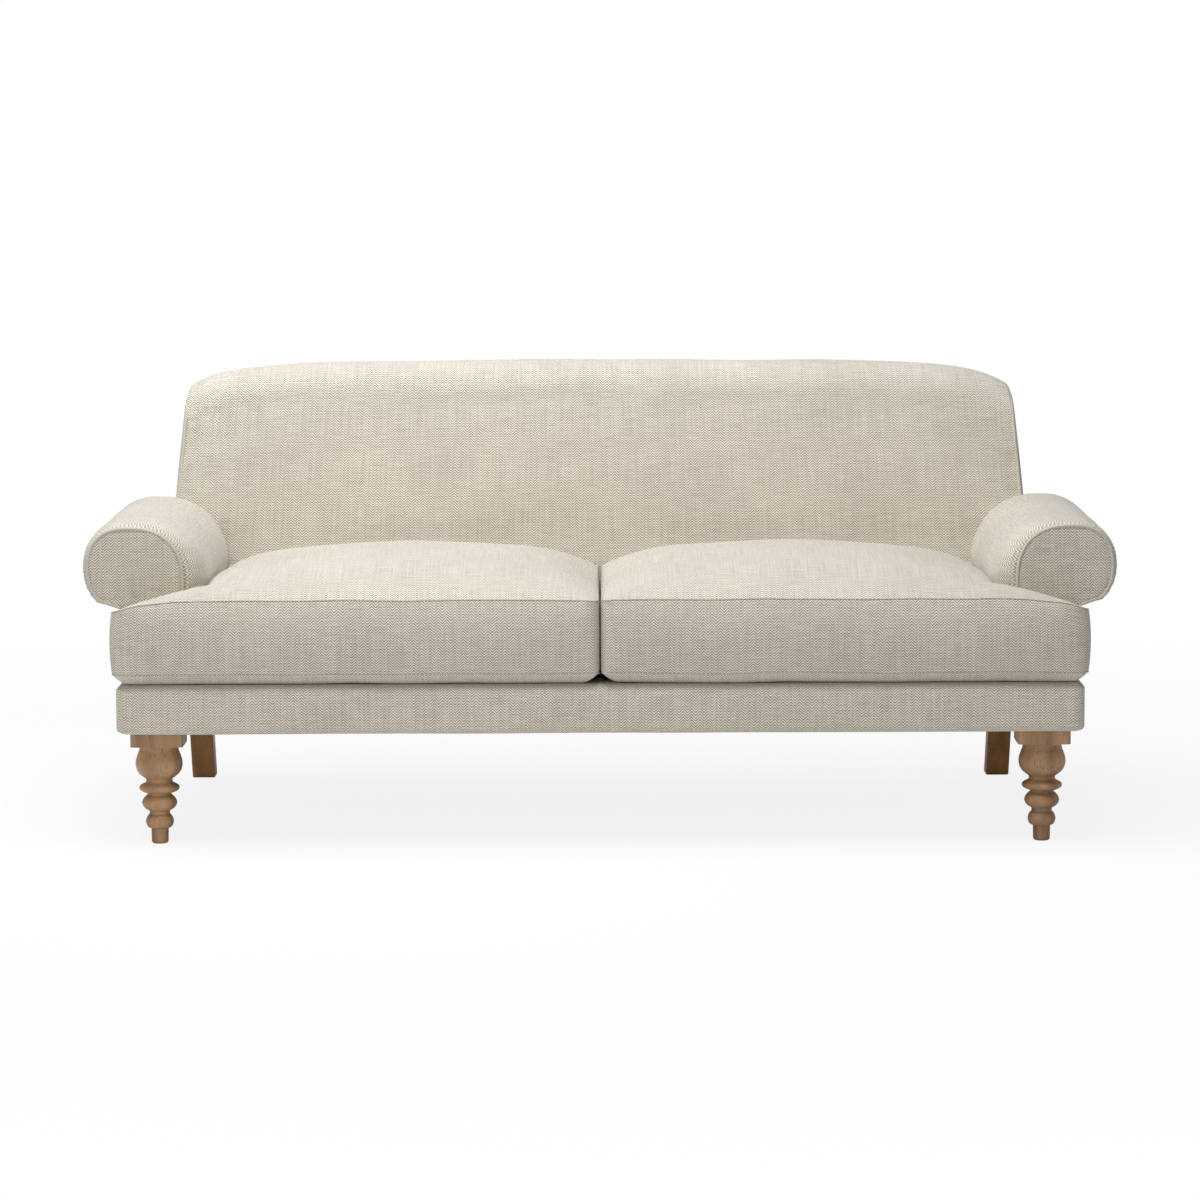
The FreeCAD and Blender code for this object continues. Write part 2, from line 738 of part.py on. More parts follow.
UPRIGHT = [
    (frame_face_y(rail_top), rail_top),
    (upright_rear, rail_top),
    (upright_rear, upright_top),
    (frame_face_y(upright_top), upright_top),
]
for side in SIDES:
    upright = plate(f"back_upright_{side}", "YZ_Plane", UPRIGHT, upright_thickness)
    keep(f"back_upright_{side}", move(upright, (outer_upright_x + upright_thickness / 2) * SIDES[side]))
inner = [plate(f"inner_upright_{s}", "YZ_Plane", UPRIGHT, upright_thickness) for s in SIDES]
for side, upright in zip(SIDES, inner):
    move(upright, upright_spacing / 2 * SIDES[side])
group("back_inner_uprights", inner)

top_rail_half = outer_upright_x + upright_thickness
TOP_RAIL = [
    (-top_rail_half, upright_top),
    (top_rail_half, upright_top),
    (top_rail_half, top_rail_end),
    (-top_rail_half, top_rail_end, NOUGHT, overall_height - top_rail_cover),
]
top_rail = plate("back_top_rail", "XZ_Plane", TOP_RAIL, top_rail_thickness)
keep("back_top_rail", move(top_rail, y=frame_face_y(upright_top) + top_rail_thickness / 2))


def web_strap(x, along, low, high, depth):
    """A flat strap on the leaning plane of the back frame, measured up along that plane."""
    thick = float(web_thickness)
    corner = Vector(x, -depth - thick, low)
    strap = Part.makeBox(along, thick, high - low, corner)
    foot = Vector(0, float(frame_face_y(rail_top)), float(rail_top))
    strap.Placement = Placement(foot, Rotation(Vector(1, 0, 0), -float(back_lean_angle))) * strap.Placement
    return strap


web_reach = float(upright_top - rail_top) / math.cos(lean) - float(web_width) / 2
web_start = float(web_width)
rows = [web_start + (web_reach - web_start - float(web_width)) * i / (WEB_ROWS - 1) for i in range(WEB_ROWS)]
columns = [float(upright_spacing) * (2 * (i + 0.5) / WEB_COLUMNS - 1) * 1.3 for i in range(WEB_COLUMNS)]
strap = float(web_width)
straps = [web_strap(-float(top_rail_half), 2 * float(top_rail_half), z, z + strap, 0) for z in rows]
straps += [web_strap(x - strap / 2, strap, web_start, web_reach, float(web_thickness)) for x in columns]
shaped("back_webbing", Part.makeCompound(straps))

# Inside back: a pad over the frame and top rail, and the cover pulled over it and tacked behind the rail
document.recompute()


def behind_face(shift, lowest, highest, rear):
    """The room behind the leaning face, pushed back by a shift, between two heights and up to a rear."""
    half = float(overall_depth)
    slope = [(back_face_y(z) + shift, z) for z in (lowest, highest)]
    corners = [Vector(-half, y, z) for y, z in slope + [(rear, highest), (rear, lowest)]]
    return closed_face(corners).extrude(Vector(2 * half, 0, 0))


pad_depth = float(back_pad_thickness) / math.cos(lean)
frame_room = behind_face(pad_depth, floor_z - cloth, float(upright_top), back_rear + cloth)
back_pad = back_form(cloth, floor_z).common(side_wedge(cover_side)).cut(frame_room)
shaped("back_pad", back_pad.cut(nodes["back_top_rail"].Shape))

back_cover = back_form(0, floor_z).common(side_wedge(cover_side)).cut(back_form(cloth, floor_z - cloth))
open_rear = span(float(overall_depth), (back_rear - 2 * cloth, back_rear + cloth), (0, float(upright_top)))
shaped("back_cover", back_cover.cut(open_rear))

# Side facings of the back with their piping
end_top = crown_height(float(crown_reach))


def back_facing():
    """The padded side panel: the back's own side view, set in from the piping."""
    end = Part.Face(back_profile(0, end_top, 2 * piping + gap, floor_z))
    panel = end.extrude(Vector(float(overall_depth), 0, 0))
    return panel.common(side_wedge(0)).cut(side_wedge(facing_thickness))


def covered_cord(edges, square_on):
    """A piping cord of eight sides along the straight runs and arcs of a plane path.

    An arc's stretch is turned about the arc's own axis. The path's plane is square on to one direction.
    """
    runs = []
    for edge in edges:
        start, along = edge.valueAt(edge.FirstParameter), edge.tangentAt(edge.FirstParameter)
        outward = along.cross(square_on)
        turns = [math.radians(45 * corner) for corner in range(8)]
        section = [start + outward * (piping * math.cos(t)) + square_on * (piping * math.sin(t)) for t in turns]
        if isinstance(edge.Curve, Part.Circle):
            turn = math.degrees(edge.Length / edge.Curve.Radius)
            axis = (start - edge.Curve.Center).cross(along)
            runs.append(closed_face(section).revolve(edge.Curve.Center, axis, turn))
        else:
            runs.append(closed_face(section).extrude(along * edge.Length))
    return runs[0].fuse(runs[1:]).removeSplitter()


def back_piping():
    """The cord between cover and side panel, in the leaning side plane."""
    at_floor = float(back_half_width) - (cover_side - piping - gap) / math.cos(side_lean)
    edges = back_profile(at_floor, end_top, piping, floor_z + piping, math.tan(side_lean)).Edges[:3]
    return covered_cord(edges, Vector(math.cos(side_lean), 0, math.sin(side_lean)))


both_sides("back_facing", back_facing)
shaped("back_piping", Part.makeCompound([back_piping(), mirrored(back_piping())]))

# Roll arms: a scroll shaped front board, a rear board, a top rail between them and padding over all
arm_roll_set_in = size("arm_roll_set_in", 14)
arm_roll_rise = size("arm_roll_rise", 221)
arm_roll_radius = size("arm_roll_radius", 81)
arm_roll_padding = size("arm_roll_padding", 15)
arm_top_flat = size("arm_top_flat", 2)
arm_roll_end_angle = size("arm_roll_end_angle", 48)
arm_neck_rise = size("arm_neck_rise", 143)
arm_neck_tuck = size("arm_neck_tuck", 5)
arm_nose_depth = size("arm_nose_depth", 80)
arm_rear_drop = size("arm_rear_drop", 24)
arm_drop_length = size("arm_drop_length", 194)
arm_board_inset = size("arm_board_inset", 7)
arm_board_height = size("arm_board_height", 193)
arm_lining_thickness = size("arm_lining_thickness", 6)
arm_lining_inset = size("arm_lining_inset", 4)
arm_rail_set_in = size("arm_rail_set_in", 25)
arm_rail_width = size("arm_rail_width", 57)
arm_rail_height = size("arm_rail_height", 45)
facing_thickness_front = size("facing_thickness_front", 6.2)
panel_edge = size("panel_edge", 4)
NOSE_STATIONS = (0, 0.12, 0.45, 1)

arm_roll_x = side_half_width - arm_roll_set_in
arm_rail_inner_x = arm_roll_x - arm_rail_set_in
arm_front_y = facing_y + piping_radius + lay_gap
arm_rear_y = upright_rear
arm_drop_y = arm_rear_y - arm_drop_length
arm_front = float(arm_front_y)
arm_rear = float(arm_rear_y)


def arm_profile(y, swell, drop, inset, lowest):
    """The arm's section as a wire: inside face, shoulder, flat top, outward roll, neck and outside.

    A swell of 0 is the scroll of the front panel and 1 is the fully padded arm. The drop lowers it.
    """
    roll_z = floor_z + float(arm_roll_rise) - drop
    full_radius = float(arm_roll_radius) + swell * float(arm_roll_padding)
    radius = full_radius - inset
    inner = float(arm_face_inner_x) - swell * float(arm_inner_padding)
    shoulder_x = float(arm_roll_x) - float(arm_top_flat) - swell * float(arm_roll_padding)
    shoulder = shoulder_x - inner
    shoulder_z = roll_z + full_radius - shoulder
    neck_z = floor_z + float(arm_neck_rise) - swell * float(arm_neck_tuck) - drop + inset
    outside = float(side_half_width) - inset

    def around(x, z, distance, degrees):
        turn = math.radians(degrees)
        return Vector(x + distance * math.cos(turn), y, z + distance * math.sin(turn))

    def shoulder_point(degrees):
        return around(shoulder_x, shoulder_z, shoulder - inset, degrees)

    def roll_point(degrees):
        return around(float(arm_roll_x), roll_z, radius, degrees)

    end = -float(arm_roll_end_angle)
    half_way = (90 + end) / 2
    foot = Vector(inner + inset, y, lowest)
    neck = Vector(outside, y, neck_z)
    heel = Vector(outside, y, lowest)
    return Part.Wire([
        Part.LineSegment(foot, shoulder_point(180)).toShape(),
        Part.Arc(shoulder_point(180), shoulder_point(135), shoulder_point(90)).toShape(),
        Part.LineSegment(shoulder_point(90), roll_point(90)).toShape(),
        Part.Arc(roll_point(90), roll_point((90 + half_way) / 2), roll_point(half_way)).toShape(),
        Part.Arc(roll_point(half_way), roll_point((half_way + end) / 2), roll_point(end)).toShape(),
        Part.LineSegment(roll_point(end), neck).toShape(),
        Part.LineSegment(neck, heel).toShape(),
        Part.LineSegment(heel, foot).toShape(),
    ])


def arm_form(inset, lowest):
    """The whole arm: it swells out from the scroll like a quarter circle, then runs straight and drops."""
    stations = []
    for part in NOSE_STATIONS:
        stations.append((arm_front + part * float(arm_nose_depth), math.sqrt(1 - (1 - part) ** 2), 0))
    stations.append((float(arm_drop_y), 1, 0))
    stations.append((arm_rear, 1, float(arm_rear_drop)))
    sections = [arm_profile(y, swell, drop, inset, lowest) for y, swell, drop in stations]
    return Part.makeLoft(sections, True, True)


def arm_slice(y, thickness, swell, drop, inset, lowest):
    """A board or panel with the outline of the arm's section."""
    return Part.Face(arm_profile(y, swell, drop, inset, lowest)).extrude(Vector(0, thickness, 0))


def box_between(low, high):
    return Part.makeBox(high[0] - low[0], high[1] - low[1], high[2] - low[2], Vector(*low))


back_room = behind_face(-gap, floor_z - gap, 2 * float(overall_height), float(overall_depth))
back_room = back_room.common(side_wedge(-gap))
board = float(rail_thickness)
board_inset = float(arm_board_inset)
rail_level = float(rail_top)
lining_x = float(arm_face_inner_x + arm_lining_inset)
board_top = floor_z + float(arm_board_height - arm_inner_padding / 3)
stump = arm_slice(arm_front, board, 0, 0, board_inset, rail_level)
rear_board = arm_slice(arm_rear - board, board, 1, float(arm_rear_drop), board_inset, rail_level)
rear_board = rear_board.cut(side_wedge(-gap))
rail_z = floor_z + float(arm_board_height)
rail_low = (float(arm_rail_inner_x), arm_front + board, rail_z)
rail_high = (float(arm_rail_inner_x + arm_rail_width), arm_rear - board, rail_z + float(arm_rail_height))
arm_top_rail = box_between(rail_low, rail_high)
lining_low = (lining_x, arm_front + board, rail_level)
lining_high = (lining_x + float(arm_lining_thickness), float(spring_rail_y + clip_width), board_top)
both_sides("arm_stump", lambda: stump)
both_sides("arm_rear_board", lambda: rear_board)
both_sides("arm_top_rail", lambda: arm_top_rail.cut(back_room))
both_sides("arm_lining", lambda: box_between(lining_low, lining_high).cut(back_room))

# Arm padding and cover, cut off where the back stands
neck_line = float(deck_top + arm_neck_rise - arm_neck_tuck - panel_edge)


def arm_pad():
    hollow_low = (lining_x, arm_front - board, 0)
    hollow_high = (float(side_half_width) + cloth, arm_rear + board, board_top)
    pad = arm_form(cloth, rail_level).cut(box_between(hollow_low, hollow_high))
    for piece in (stump, rear_board, arm_top_rail, back_room):
        pad = pad.cut(piece)
    return pad


def arm_cover():
    cover = arm_form(0, rail_level).cut(arm_form(cloth, rail_level - cloth)).cut(back_room)
    panel_x = float(side_half_width - side_panel_thickness) - gap
    top = neck_line + gap
    drop = float(arm_rear_drop)
    line = [(arm_front - board, 0), (arm_rear + board, 0), (arm_rear + board, top - drop)]
    line += [(arm_rear, top - drop), (float(arm_drop_y), top), (arm_front - board, top)]
    panel_room = closed_face([Vector(panel_x, y, z) for y, z in line])
    return cover.cut(panel_room.extrude(Vector(float(leg_block_width), 0, 0)))


both_sides("arm_pad", arm_pad)
both_sides("arm_cover", arm_cover)

# Front panel of the arm with its covered cord, and the card lined outside panel
facing_foot = deck_top + lay_gap


def arm_facing():
    """The scroll panel, its front edge softened by the cloth over it."""
    inset = piping + gap
    thickness = float(facing_thickness_front)
    panel = arm_slice(arm_front - gap - thickness, thickness, 0, 0, inset, float(facing_foot))
    front = [e for e in panel.Edges if abs(e.CenterOfMass.y - (arm_front - gap - thickness)) < 1e-3]
    above = [e for e in front if e.CenterOfMass.z > float(facing_foot) + 1e-3]
    return panel.makeChamfer(thickness / 3, above)


def arm_piping():
    """A covered cord round the scroll, from the border up over the roll and down to the border again."""
    return covered_cord(arm_profile(float(facing_y), 0, 0, 0, float(facing_foot)).Edges[:7], Vector(0, 1, 0))


both_sides("arm_facing", arm_facing)
shaped("arm_piping", Part.makeCompound([arm_piping(), mirrored(arm_piping())]))
panel_top = deck_top + arm_neck_rise - arm_neck_tuck - panel_edge
OUTSIDE_PANEL = [
    (arm_front_y, leg_height),
    (arm_rear_y, leg_height),
    (arm_rear_y, panel_top - arm_rear_drop),
    (arm_drop_y, panel_top),
    (arm_front_y, panel_top),
]
for side in SIDES:
    panel = plate(f"arm_outside_panel_{side}", "YZ_Plane", OUTSIDE_PANEL, side_panel_thickness)
    keep(f"arm_outside_panel_{side}", move(panel, (side_half_width - side_panel_thickness / 2) * SIDES[side]))


def back_outside_panel():
    """The flat rear panel: the arms' rear outlines joined by the back's own width and crown."""
    thickness = float(rear_panel_thickness)
    inset_top = float(panel_edge)

    def flat_top(x):
        centre_z = crown_height(x) - float(back_roll_radius)
        face_z = centre_z + float(back_roll_radius) * math.sin(lean)
        centre_y = back_face_y(face_z) + float(back_roll_radius) * math.cos(lean)
        return centre_z - math.sqrt(float(back_roll_radius) ** 2 - (back_rear - centre_y) ** 2) - inset_top

    end_z = flat_top(float(crown_reach))
    end_x = float(back_half_width) - (end_z - floor_z) * math.tan(side_lean) - facing_thickness
    low = float(leg_height)
    foot_x = float(side_half_width) - float(arm_board_inset) * 3
    left, right = Vector(-end_x, back_rear, end_z), Vector(end_x, back_rear, end_z)
    edges = [
        Part.LineSegment(Vector(-foot_x, back_rear, low), Vector(foot_x, back_rear, low)).toShape(),
        Part.LineSegment(Vector(foot_x, back_rear, low), right).toShape(),
        Part.Arc(right, Vector(0, back_rear, flat_top(0)), left).toShape(),
        Part.LineSegment(left, Vector(-foot_x, back_rear, low)).toShape(),
    ]
    panel = Part.Face(Part.Wire(edges)).extrude(Vector(0, thickness, 0))
    side = arm_slice(arm_rear, thickness, 1, float(arm_rear_drop), 0, low)
    return panel.fuse([side, mirrored(side)]).removeSplitter()


shaped("back_outside_panel", back_outside_panel())

# Two loose T shaped seat cushions: a crowned boxed form with an ear in front of the arm
cushion_thickness = size("cushion_thickness", 170)
cushion_crown = size("cushion_crown", 75)
cushion_belly = size("cushion_belly", 6)
cushion_bottom_round = size("cushion_bottom_round", 20)
cushion_middle_gap = size("cushion_middle_gap", 2)
cushion_side_gap = size("cushion_side_gap", 1.5)
cushion_rear_gap = size("cushion_rear_gap", 4)
cushion_ear_overhang = size("cushion_ear_overhang", 8)
zip_width = size("zip_width", 30)
zip_thickness = size("zip_thickness", 2)
zip_inset = size("zip_inset", 60)

# How the cushion's crown varies: place (0 in the middle, 1 at the arm, 2 at the ear's end), then the
# heights of the front seam, the crest and the rear seam as shares of the crown, and the corner's draw
CUSHION_STATIONS = (
    (0, -0.03, 0.17, 0.05, 1),
    (0.04, 0, 0.48, 0.1, 0.2),
    (0.16, 0, 0.82, 0.15, 0),
    (0.5, 0, 1, 0.15, 0),
    (0.82, 0, 0.84, 0.15, 0),
    (1, 0, 0.5, 0.1, 0),
    (1.5, 0, 0.26, 0, 0),
    (2, -0.24, -0.45, -0.85, 1),
)
cushion_floor = floor_z + gap
cushion_inner = float(cushion_middle_gap)
cushion_outer = float(arm_face_inner_x - arm_inner_padding - cushion_side_gap)
ear_end = float(border_half_width + cushion_ear_overhang)
ear_back = float(facing_y - piping_radius - cushion_side_gap)


def cushion_rear_y(z):
    return back_face_y(z) - float(cushion_rear_gap)


def cushion_profile(x, seam, crest, rear, draw, inset):
    """The cushion's side view as a wire: flat underside, boxed front with a belly, crowned top, rear."""
    crown = float(cushion_crown)
    seam_z, crest_z, rear_z = (
        cushion_floor + float(cushion_thickness) + share * crown - inset for share in (seam, crest, rear)
    )
    bottom = cushion_floor + inset
    low_seam_z = bottom + float(cushion_bottom_round)
    pull = draw * float(cushion_belly)
    belly_y = float(front_y) + inset + pull
    seam_y = belly_y + float(cushion_belly)
    round_y = seam_y + float(cushion_bottom_round)
    crest_y = (seam_y + cushion_rear_y(rear_z)) / 2
    corner = math.sqrt(0.5) * float(cushion_bottom_round)

    def at(y, z):
        return Vector(x, y, z)

    low_seam = at(seam_y, low_seam_z)
    top_seam = at(seam_y, seam_z)
    rear_top = at(cushion_rear_y(rear_z) - inset, rear_z)
    rear_foot = at(cushion_rear_y(bottom) - inset, bottom)
    underside = at(round_y, bottom)
    return Part.Wire([
        Part.LineSegment(rear_foot, underside).toShape(),
        Part.Arc(underside, at(round_y - corner, low_seam_z - corner), low_seam).toShape(),
        Part.Arc(low_seam, at(belly_y, (low_seam_z + seam_z) / 2), top_seam).toShape(),
        Part.Arc(top_seam, at(crest_y, crest_z), rear_top).toShape(),
        Part.LineSegment(rear_top, rear_foot).toShape(),
    ])


def cushion_form(inset):
    """The T shape: a loft along the sofa, with the corner that the arm takes cut away."""
    wires = []
    for place, seam, crest, rear, draw in CUSHION_STATIONS:
        main = min(place, 1) * (cushion_outer - cushion_inner)
        ear = max(place - 1, 0) * (ear_end - cushion_outer)
        x = min(max(cushion_inner + main + ear, cushion_inner + inset), ear_end - inset)
        wires.append(cushion_profile(x, seam, crest, rear, draw, inset))
    form = Part.makeLoft(wires, True, True)
    corner = (cushion_outer - inset, ear_back - inset, 0)
    return form.cut(box_between(corner, (2 * ear_end, float(overall_depth), float(overall_height))))


def cushion_zip():
    """A zip tape on the rear boxing."""
    middle = cushion_floor + float(cushion_thickness) / 2
    low, high = middle - float(zip_width) / 2, middle + float(zip_width) / 2
    thickness = float(zip_thickness)
    edges = [(0, low), (0, high), (thickness, high), (thickness, low)]
    start = cushion_inner + float(zip_inset)
    corners = [Vector(start, cushion_rear_y(z) + shift, z) for shift, z in edges]
    return closed_face(corners).extrude(Vector(cushion_outer - float(zip_inset) - start, 0, 0))


both_sides("seat_cushion_core", lambda: cushion_form(cloth + gap))
both_sides("seat_cushion_cover", lambda: cushion_form(0).cut(cushion_form(cloth)))
both_sides("cushion_zip", cushion_zip)

document.recompute()
for item in document.Objects:
    if "Invalid" in item.State or "Error" in item.State:
        raise RuntimeError(f"{item.Label} failed: {item.State}")
for name, item in nodes.items():
    if item.Shape.isNull() or not item.Shape.isValid() or item.Shape.Volume <= 0:
        raise RuntimeError(f"{name} has no sound shape")

os.makedirs("parts", exist_ok=True)
for name, item in nodes.items():
    item.Shape.exportStep(f"parts/{name}.step")
print(f"{len(nodes)} pieces written")
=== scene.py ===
import math

import bpy
import numpy as np
from mathutils import Matrix


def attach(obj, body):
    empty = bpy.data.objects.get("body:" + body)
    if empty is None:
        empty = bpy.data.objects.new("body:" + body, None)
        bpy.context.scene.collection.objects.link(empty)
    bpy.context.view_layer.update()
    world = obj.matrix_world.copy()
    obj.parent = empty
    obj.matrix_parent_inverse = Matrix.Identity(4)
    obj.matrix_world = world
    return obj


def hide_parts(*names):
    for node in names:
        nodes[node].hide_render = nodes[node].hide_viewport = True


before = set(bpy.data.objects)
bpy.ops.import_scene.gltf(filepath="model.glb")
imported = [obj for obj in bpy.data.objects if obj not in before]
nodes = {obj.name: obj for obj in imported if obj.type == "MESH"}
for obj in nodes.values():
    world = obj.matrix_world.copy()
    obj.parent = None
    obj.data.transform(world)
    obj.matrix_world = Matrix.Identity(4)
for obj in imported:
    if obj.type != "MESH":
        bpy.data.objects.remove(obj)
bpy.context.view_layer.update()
SIDES = {"left": -1, "right": 1}

# Seat border. A padded bar across the front of the base, in front of the arms, with a cream herringbone
# cloth pulled over its rounded edges and tacked under the frame. Its ends turn the corner softly.
BORDER_HALF = 0.960
BORDER_FRONT = -0.492
BORDER_BACK = -0.372
BORDER_FLOOR = 0.2268
BORDER_TOP = 0.324
BORDER_ROUND = 0.026
BORDER_LOW_ROUND = 0.012
BORDER_PINCH = 0.25
BORDER_SWELL = 0.0018
BORDER_SWELL_HEIGHT = 0.097
BORDER_RIPPLE = 0.0012
BORDER_WAVE = 0.0006
CREAM_LIGHT = (0.78, 0.725, 0.625)
CREAM_DARK = (0.30, 0.255, 0.195)


def add_node(tree, kind, links=(), **values):
    """One shader node, its plain values set and its inputs joined to earlier outputs."""
    made = tree.nodes.new(kind)
    for name, value in values.items():
        setattr(made, name, value)
    for place, source in links:
        if isinstance(source, bpy.types.NodeSocket):
            tree.links.new(source, made.inputs[place])
        else:
            made.inputs[place].default_value = source
    return made


def blank_finish(name, roughness):
    """A new material with its node tree and its surface shader."""
    made = bpy.data.materials.new(name)
    made.use_nodes = True
    surface = made.node_tree.nodes["Principled BSDF"]
    surface.inputs["Roughness"].default_value = roughness
    return made, made.node_tree, surface


def math_node(tree, operation, *inputs, clamp=False):
    """A number worked out in the shader from inputs that are joined or set."""
    made = add_node(tree, "ShaderNodeMath", enumerate(inputs), operation=operation, use_clamp=clamp)
    return made.outputs[0]


def vector_node(tree, operation, *links):
    """A place or colour worked out in the shader, with each input's number or name."""
    return add_node(tree, "ShaderNodeVectorMath", links, operation=operation).outputs[0]


def noise(tree, place, scale, detail, distortion=0.0, output="Fac"):
    """Cloudy noise on a place, as a number or as a colour."""
    links = [("Vector", place), ("Scale", scale), ("Detail", detail), ("Distortion", distortion)]
    return add_node(tree, "ShaderNodeTexNoise", links).outputs[output]


def stretch(tree, place, scale):
    """A place drawn out or squeezed along each axis."""
    return add_node(tree, "ShaderNodeMapping", [("Vector", place), ("Scale", scale)]).outputs[0]


def remap(tree, value, reach, give, kind="LINEAR"):
    """A number carried from one range to another and held at both ends."""
    links = enumerate((value, *reach, *give))
    return add_node(tree, "ShaderNodeMapRange", links, interpolation_type=kind).outputs[0]


def mix_colours(tree, share, first, second):
    """The first colour at a share of 0 and the second at 1. A colour is set or joined."""
    ends = [(*end, 1) if isinstance(end, tuple) else end for end in (first, second)]
    links = [(0, share), (6, ends[0]), (7, ends[1])]
    return add_node(tree, "ShaderNodeMix", links, data_type="RGBA").outputs[2]


def dress(tree, surface, colour, height, strength, distance):
    """Joins a colour and a bump to the surface."""
    tree.links.new(colour, surface.inputs["Base Color"])
    links = [("Height", height), ("Strength", strength), ("Distance", distance)]
    tree.links.new(add_node(tree, "ShaderNodeBump", links).outputs[0], surface.inputs["Normal"])


def herringbone(name, light, dark, column=0.0082, pitch=0.0056, depth=0.00035, contrast=1.0):
    """A woven zigzag cloth: slanted yarns whose slant turns at each column, with slubs along the warp.

    The yarn's place is the height plus the distance from the column's edge, folded back and forth.
    """
    made, tree, surface = blank_finish(name, 0.92)
    surface.inputs["Sheen Weight"].default_value = 0.18
    surface.inputs["Sheen Roughness"].default_value = 0.55
    surface.inputs["Specular IOR Level"].default_value = 0.2
    place = add_node(tree, "ShaderNodeUVMap", uv_map="weave").outputs[0]
    wander = noise(tree, place, 60.0, 2.0, output="Color")
    offset = vector_node(tree, "ADD", (0, wander), (1, (-0.5, -0.5, -0.5)))
    small = vector_node(tree, "SCALE", (0, offset), ("Scale", 0.0022))
    loose = vector_node(tree, "ADD", (0, place), (1, small))
    across, along = add_node(tree, "ShaderNodeSeparateXYZ", [(0, loose)]).outputs[:2]
    slant = math_node(tree, "ADD", along, math_node(tree, "PINGPONG", across, column))
    wave = math_node(tree, "SINE", math_node(tree, "MULTIPLY", slant, 2 * math.pi / pitch))
    yarn = remap(tree, wave, (-0.75, 0.75), (0.0, 1.0), "SMOOTHSTEP")
    slub = noise(tree, stretch(tree, place, (420.0, 9.0, 1.0)), 1.0, 3.0)
    weft = noise(tree, stretch(tree, place, (22.0, 360.0, 1.0)), 1.0, 2.0)
    grain = remap(tree, math_node(tree, "ADD", slub, weft), (0.6, 1.4), (-0.34, 0.34))
    woven = math_node(tree, "ADD", yarn, grain, clamp=True)
    level = remap(tree, woven, (0.0, 1.0), (0.5 - 0.5 * contrast, 0.5 + 0.5 * contrast))
    shade = remap(tree, noise(tree, place, 5.0, 3.0), (0.3, 0.7), (0.95, 1.04))
    colour = mix_colours(tree, level, dark, light)
    tint = vector_node(tree, "SCALE", (0, colour), ("Scale", shade))
    dress(tree, surface, tint, woven, 0.7, depth)
    return made


def soft_noise(points, wavelength, seed):
    """Smooth wandering numbers near -1 to 1: nine sine waves of random directions, summed and scaled."""
    random = np.random.default_rng(seed)
    total = np.zeros(points.shape[:-1])
    for _ in range(9):
        direction = random.normal(size=3)
        direction /= np.linalg.norm(direction)
        length = wavelength * random.uniform(0.7, 1.6)
        total += np.sin(points @ direction * (2 * math.pi / length) + random.uniform(0, 6.28))
    return total / 3.2


def smooth_step(value, low, high):
    """0 below low, 1 above high and an even S between them."""
    share = np.clip((value - low) / (high - low), 0, 1)
    return share * share * (3 - 2 * share)


def add_object(name, data):
    """A new object in the scene's own collection."""
    made = bpy.data.objects.new(name, data)
    bpy.context.scene.collection.objects.link(made)
    return made


def make_piece(name, points, faces, uv, finish, body="sofa_frame"):
    """A smooth mesh from points, faces and one UV pair per face corner, riding on a body."""
    mesh = bpy.data.meshes.new(name)
    mesh.from_pydata(points.reshape(-1, 3).tolist(), [], [list(f) for f in faces])
    layer = mesh.uv_layers.new(name="weave")
    layer.data.foreach_set("uv", np.ascontiguousarray(uv, np.float32).ravel())
    mesh.polygons.foreach_set("use_smooth", np.ones(len(mesh.polygons), bool))
    mesh.update()
    piece = add_object(name, mesh)
    piece.data.materials.append(finish)
    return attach(piece, body)


def grid_piece(name, points, uv, finish, wrap=False, caps=False, flip=False, body="sofa_frame"):
    """A surface over a grid of points [row, column]. With wrap, the last column joins the first.

    uv has a pair for each column's edge, one more than points when it wraps. Caps close both end rows.
    """
    rows, columns = points.shape[:2]
    row = np.arange(rows - 1)[:, None]
    column = np.arange(columns if wrap else columns - 1)[None, :]
    corners = [(0, 0), (0, 1), (1, 1), (1, 0)]
    if flip:
        corners = corners[::-1]
    faces = np.stack([(row + i) * columns + (column + j) % columns for i, j in corners], -1).reshape(-1, 4)
    uv_ids = np.stack([(row + i) * uv.shape[1] + column + j for i, j in corners], -1).reshape(-1)
    loops = uv.reshape(-1, 2)[uv_ids]
    faces = faces.tolist()
    if caps:
        first, last = list(range(columns)), list(range((rows - 1) * columns, rows * columns))
        first, last = (first, last[::-1]) if flip else (first[::-1], last)
        faces += [first, last]
        flat = points.reshape(-1, 3)
        loops = np.concatenate([loops, flat[first][:, 1:], flat[last][:, 1:]])
    return make_piece(name, points, faces, loops, finish, body)


def run_length(points, axis):
    """The distance along a grid's rows or columns, from its first point."""
    steps = np.linalg.norm(np.diff(points, axis=axis), axis=-1)
    start = np.zeros_like(np.take(steps, [0], axis=axis))
    return np.concatenate([start, np.cumsum(steps, axis=axis)], axis=axis)


def close_loop(points):
    """The grid with its first column set again after the last."""
    return np.concatenate([points, points[:, :1]], axis=1)


def bar_loop(front, back, floor, top, low_round, high_round, count):
    """A bar's section, seen from its end: a rectangle with two rounded front edges, walked once round."""
    turn = np.linspace(0, math.pi / 2, count)
    low, high = low_round, high_round
    rows = [
        (np.linspace(back, front + low, 12), np.full(12, floor)),
        (front + low - low * np.sin(turn)[1:], floor + low - low * np.cos(turn)[1:]),
        (np.full(9, front), np.linspace(floor + low, top - high, 11)[1:-1]),
        (front + high - high * np.cos(turn), top - high + high * np.sin(turn)),
        (np.linspace(front + high, back, 12)[1:], np.full(11, top)),
    ]
    return np.concatenate([np.stack(row, -1) for row in rows])


def sweep(x, section):
    """A grid of points: one section, given as y and z pairs, set at each x."""
    points = np.zeros((len(x), len(section), 3))
    points[..., 0] = x[:, None]
    points[..., 1:] = section
    return points


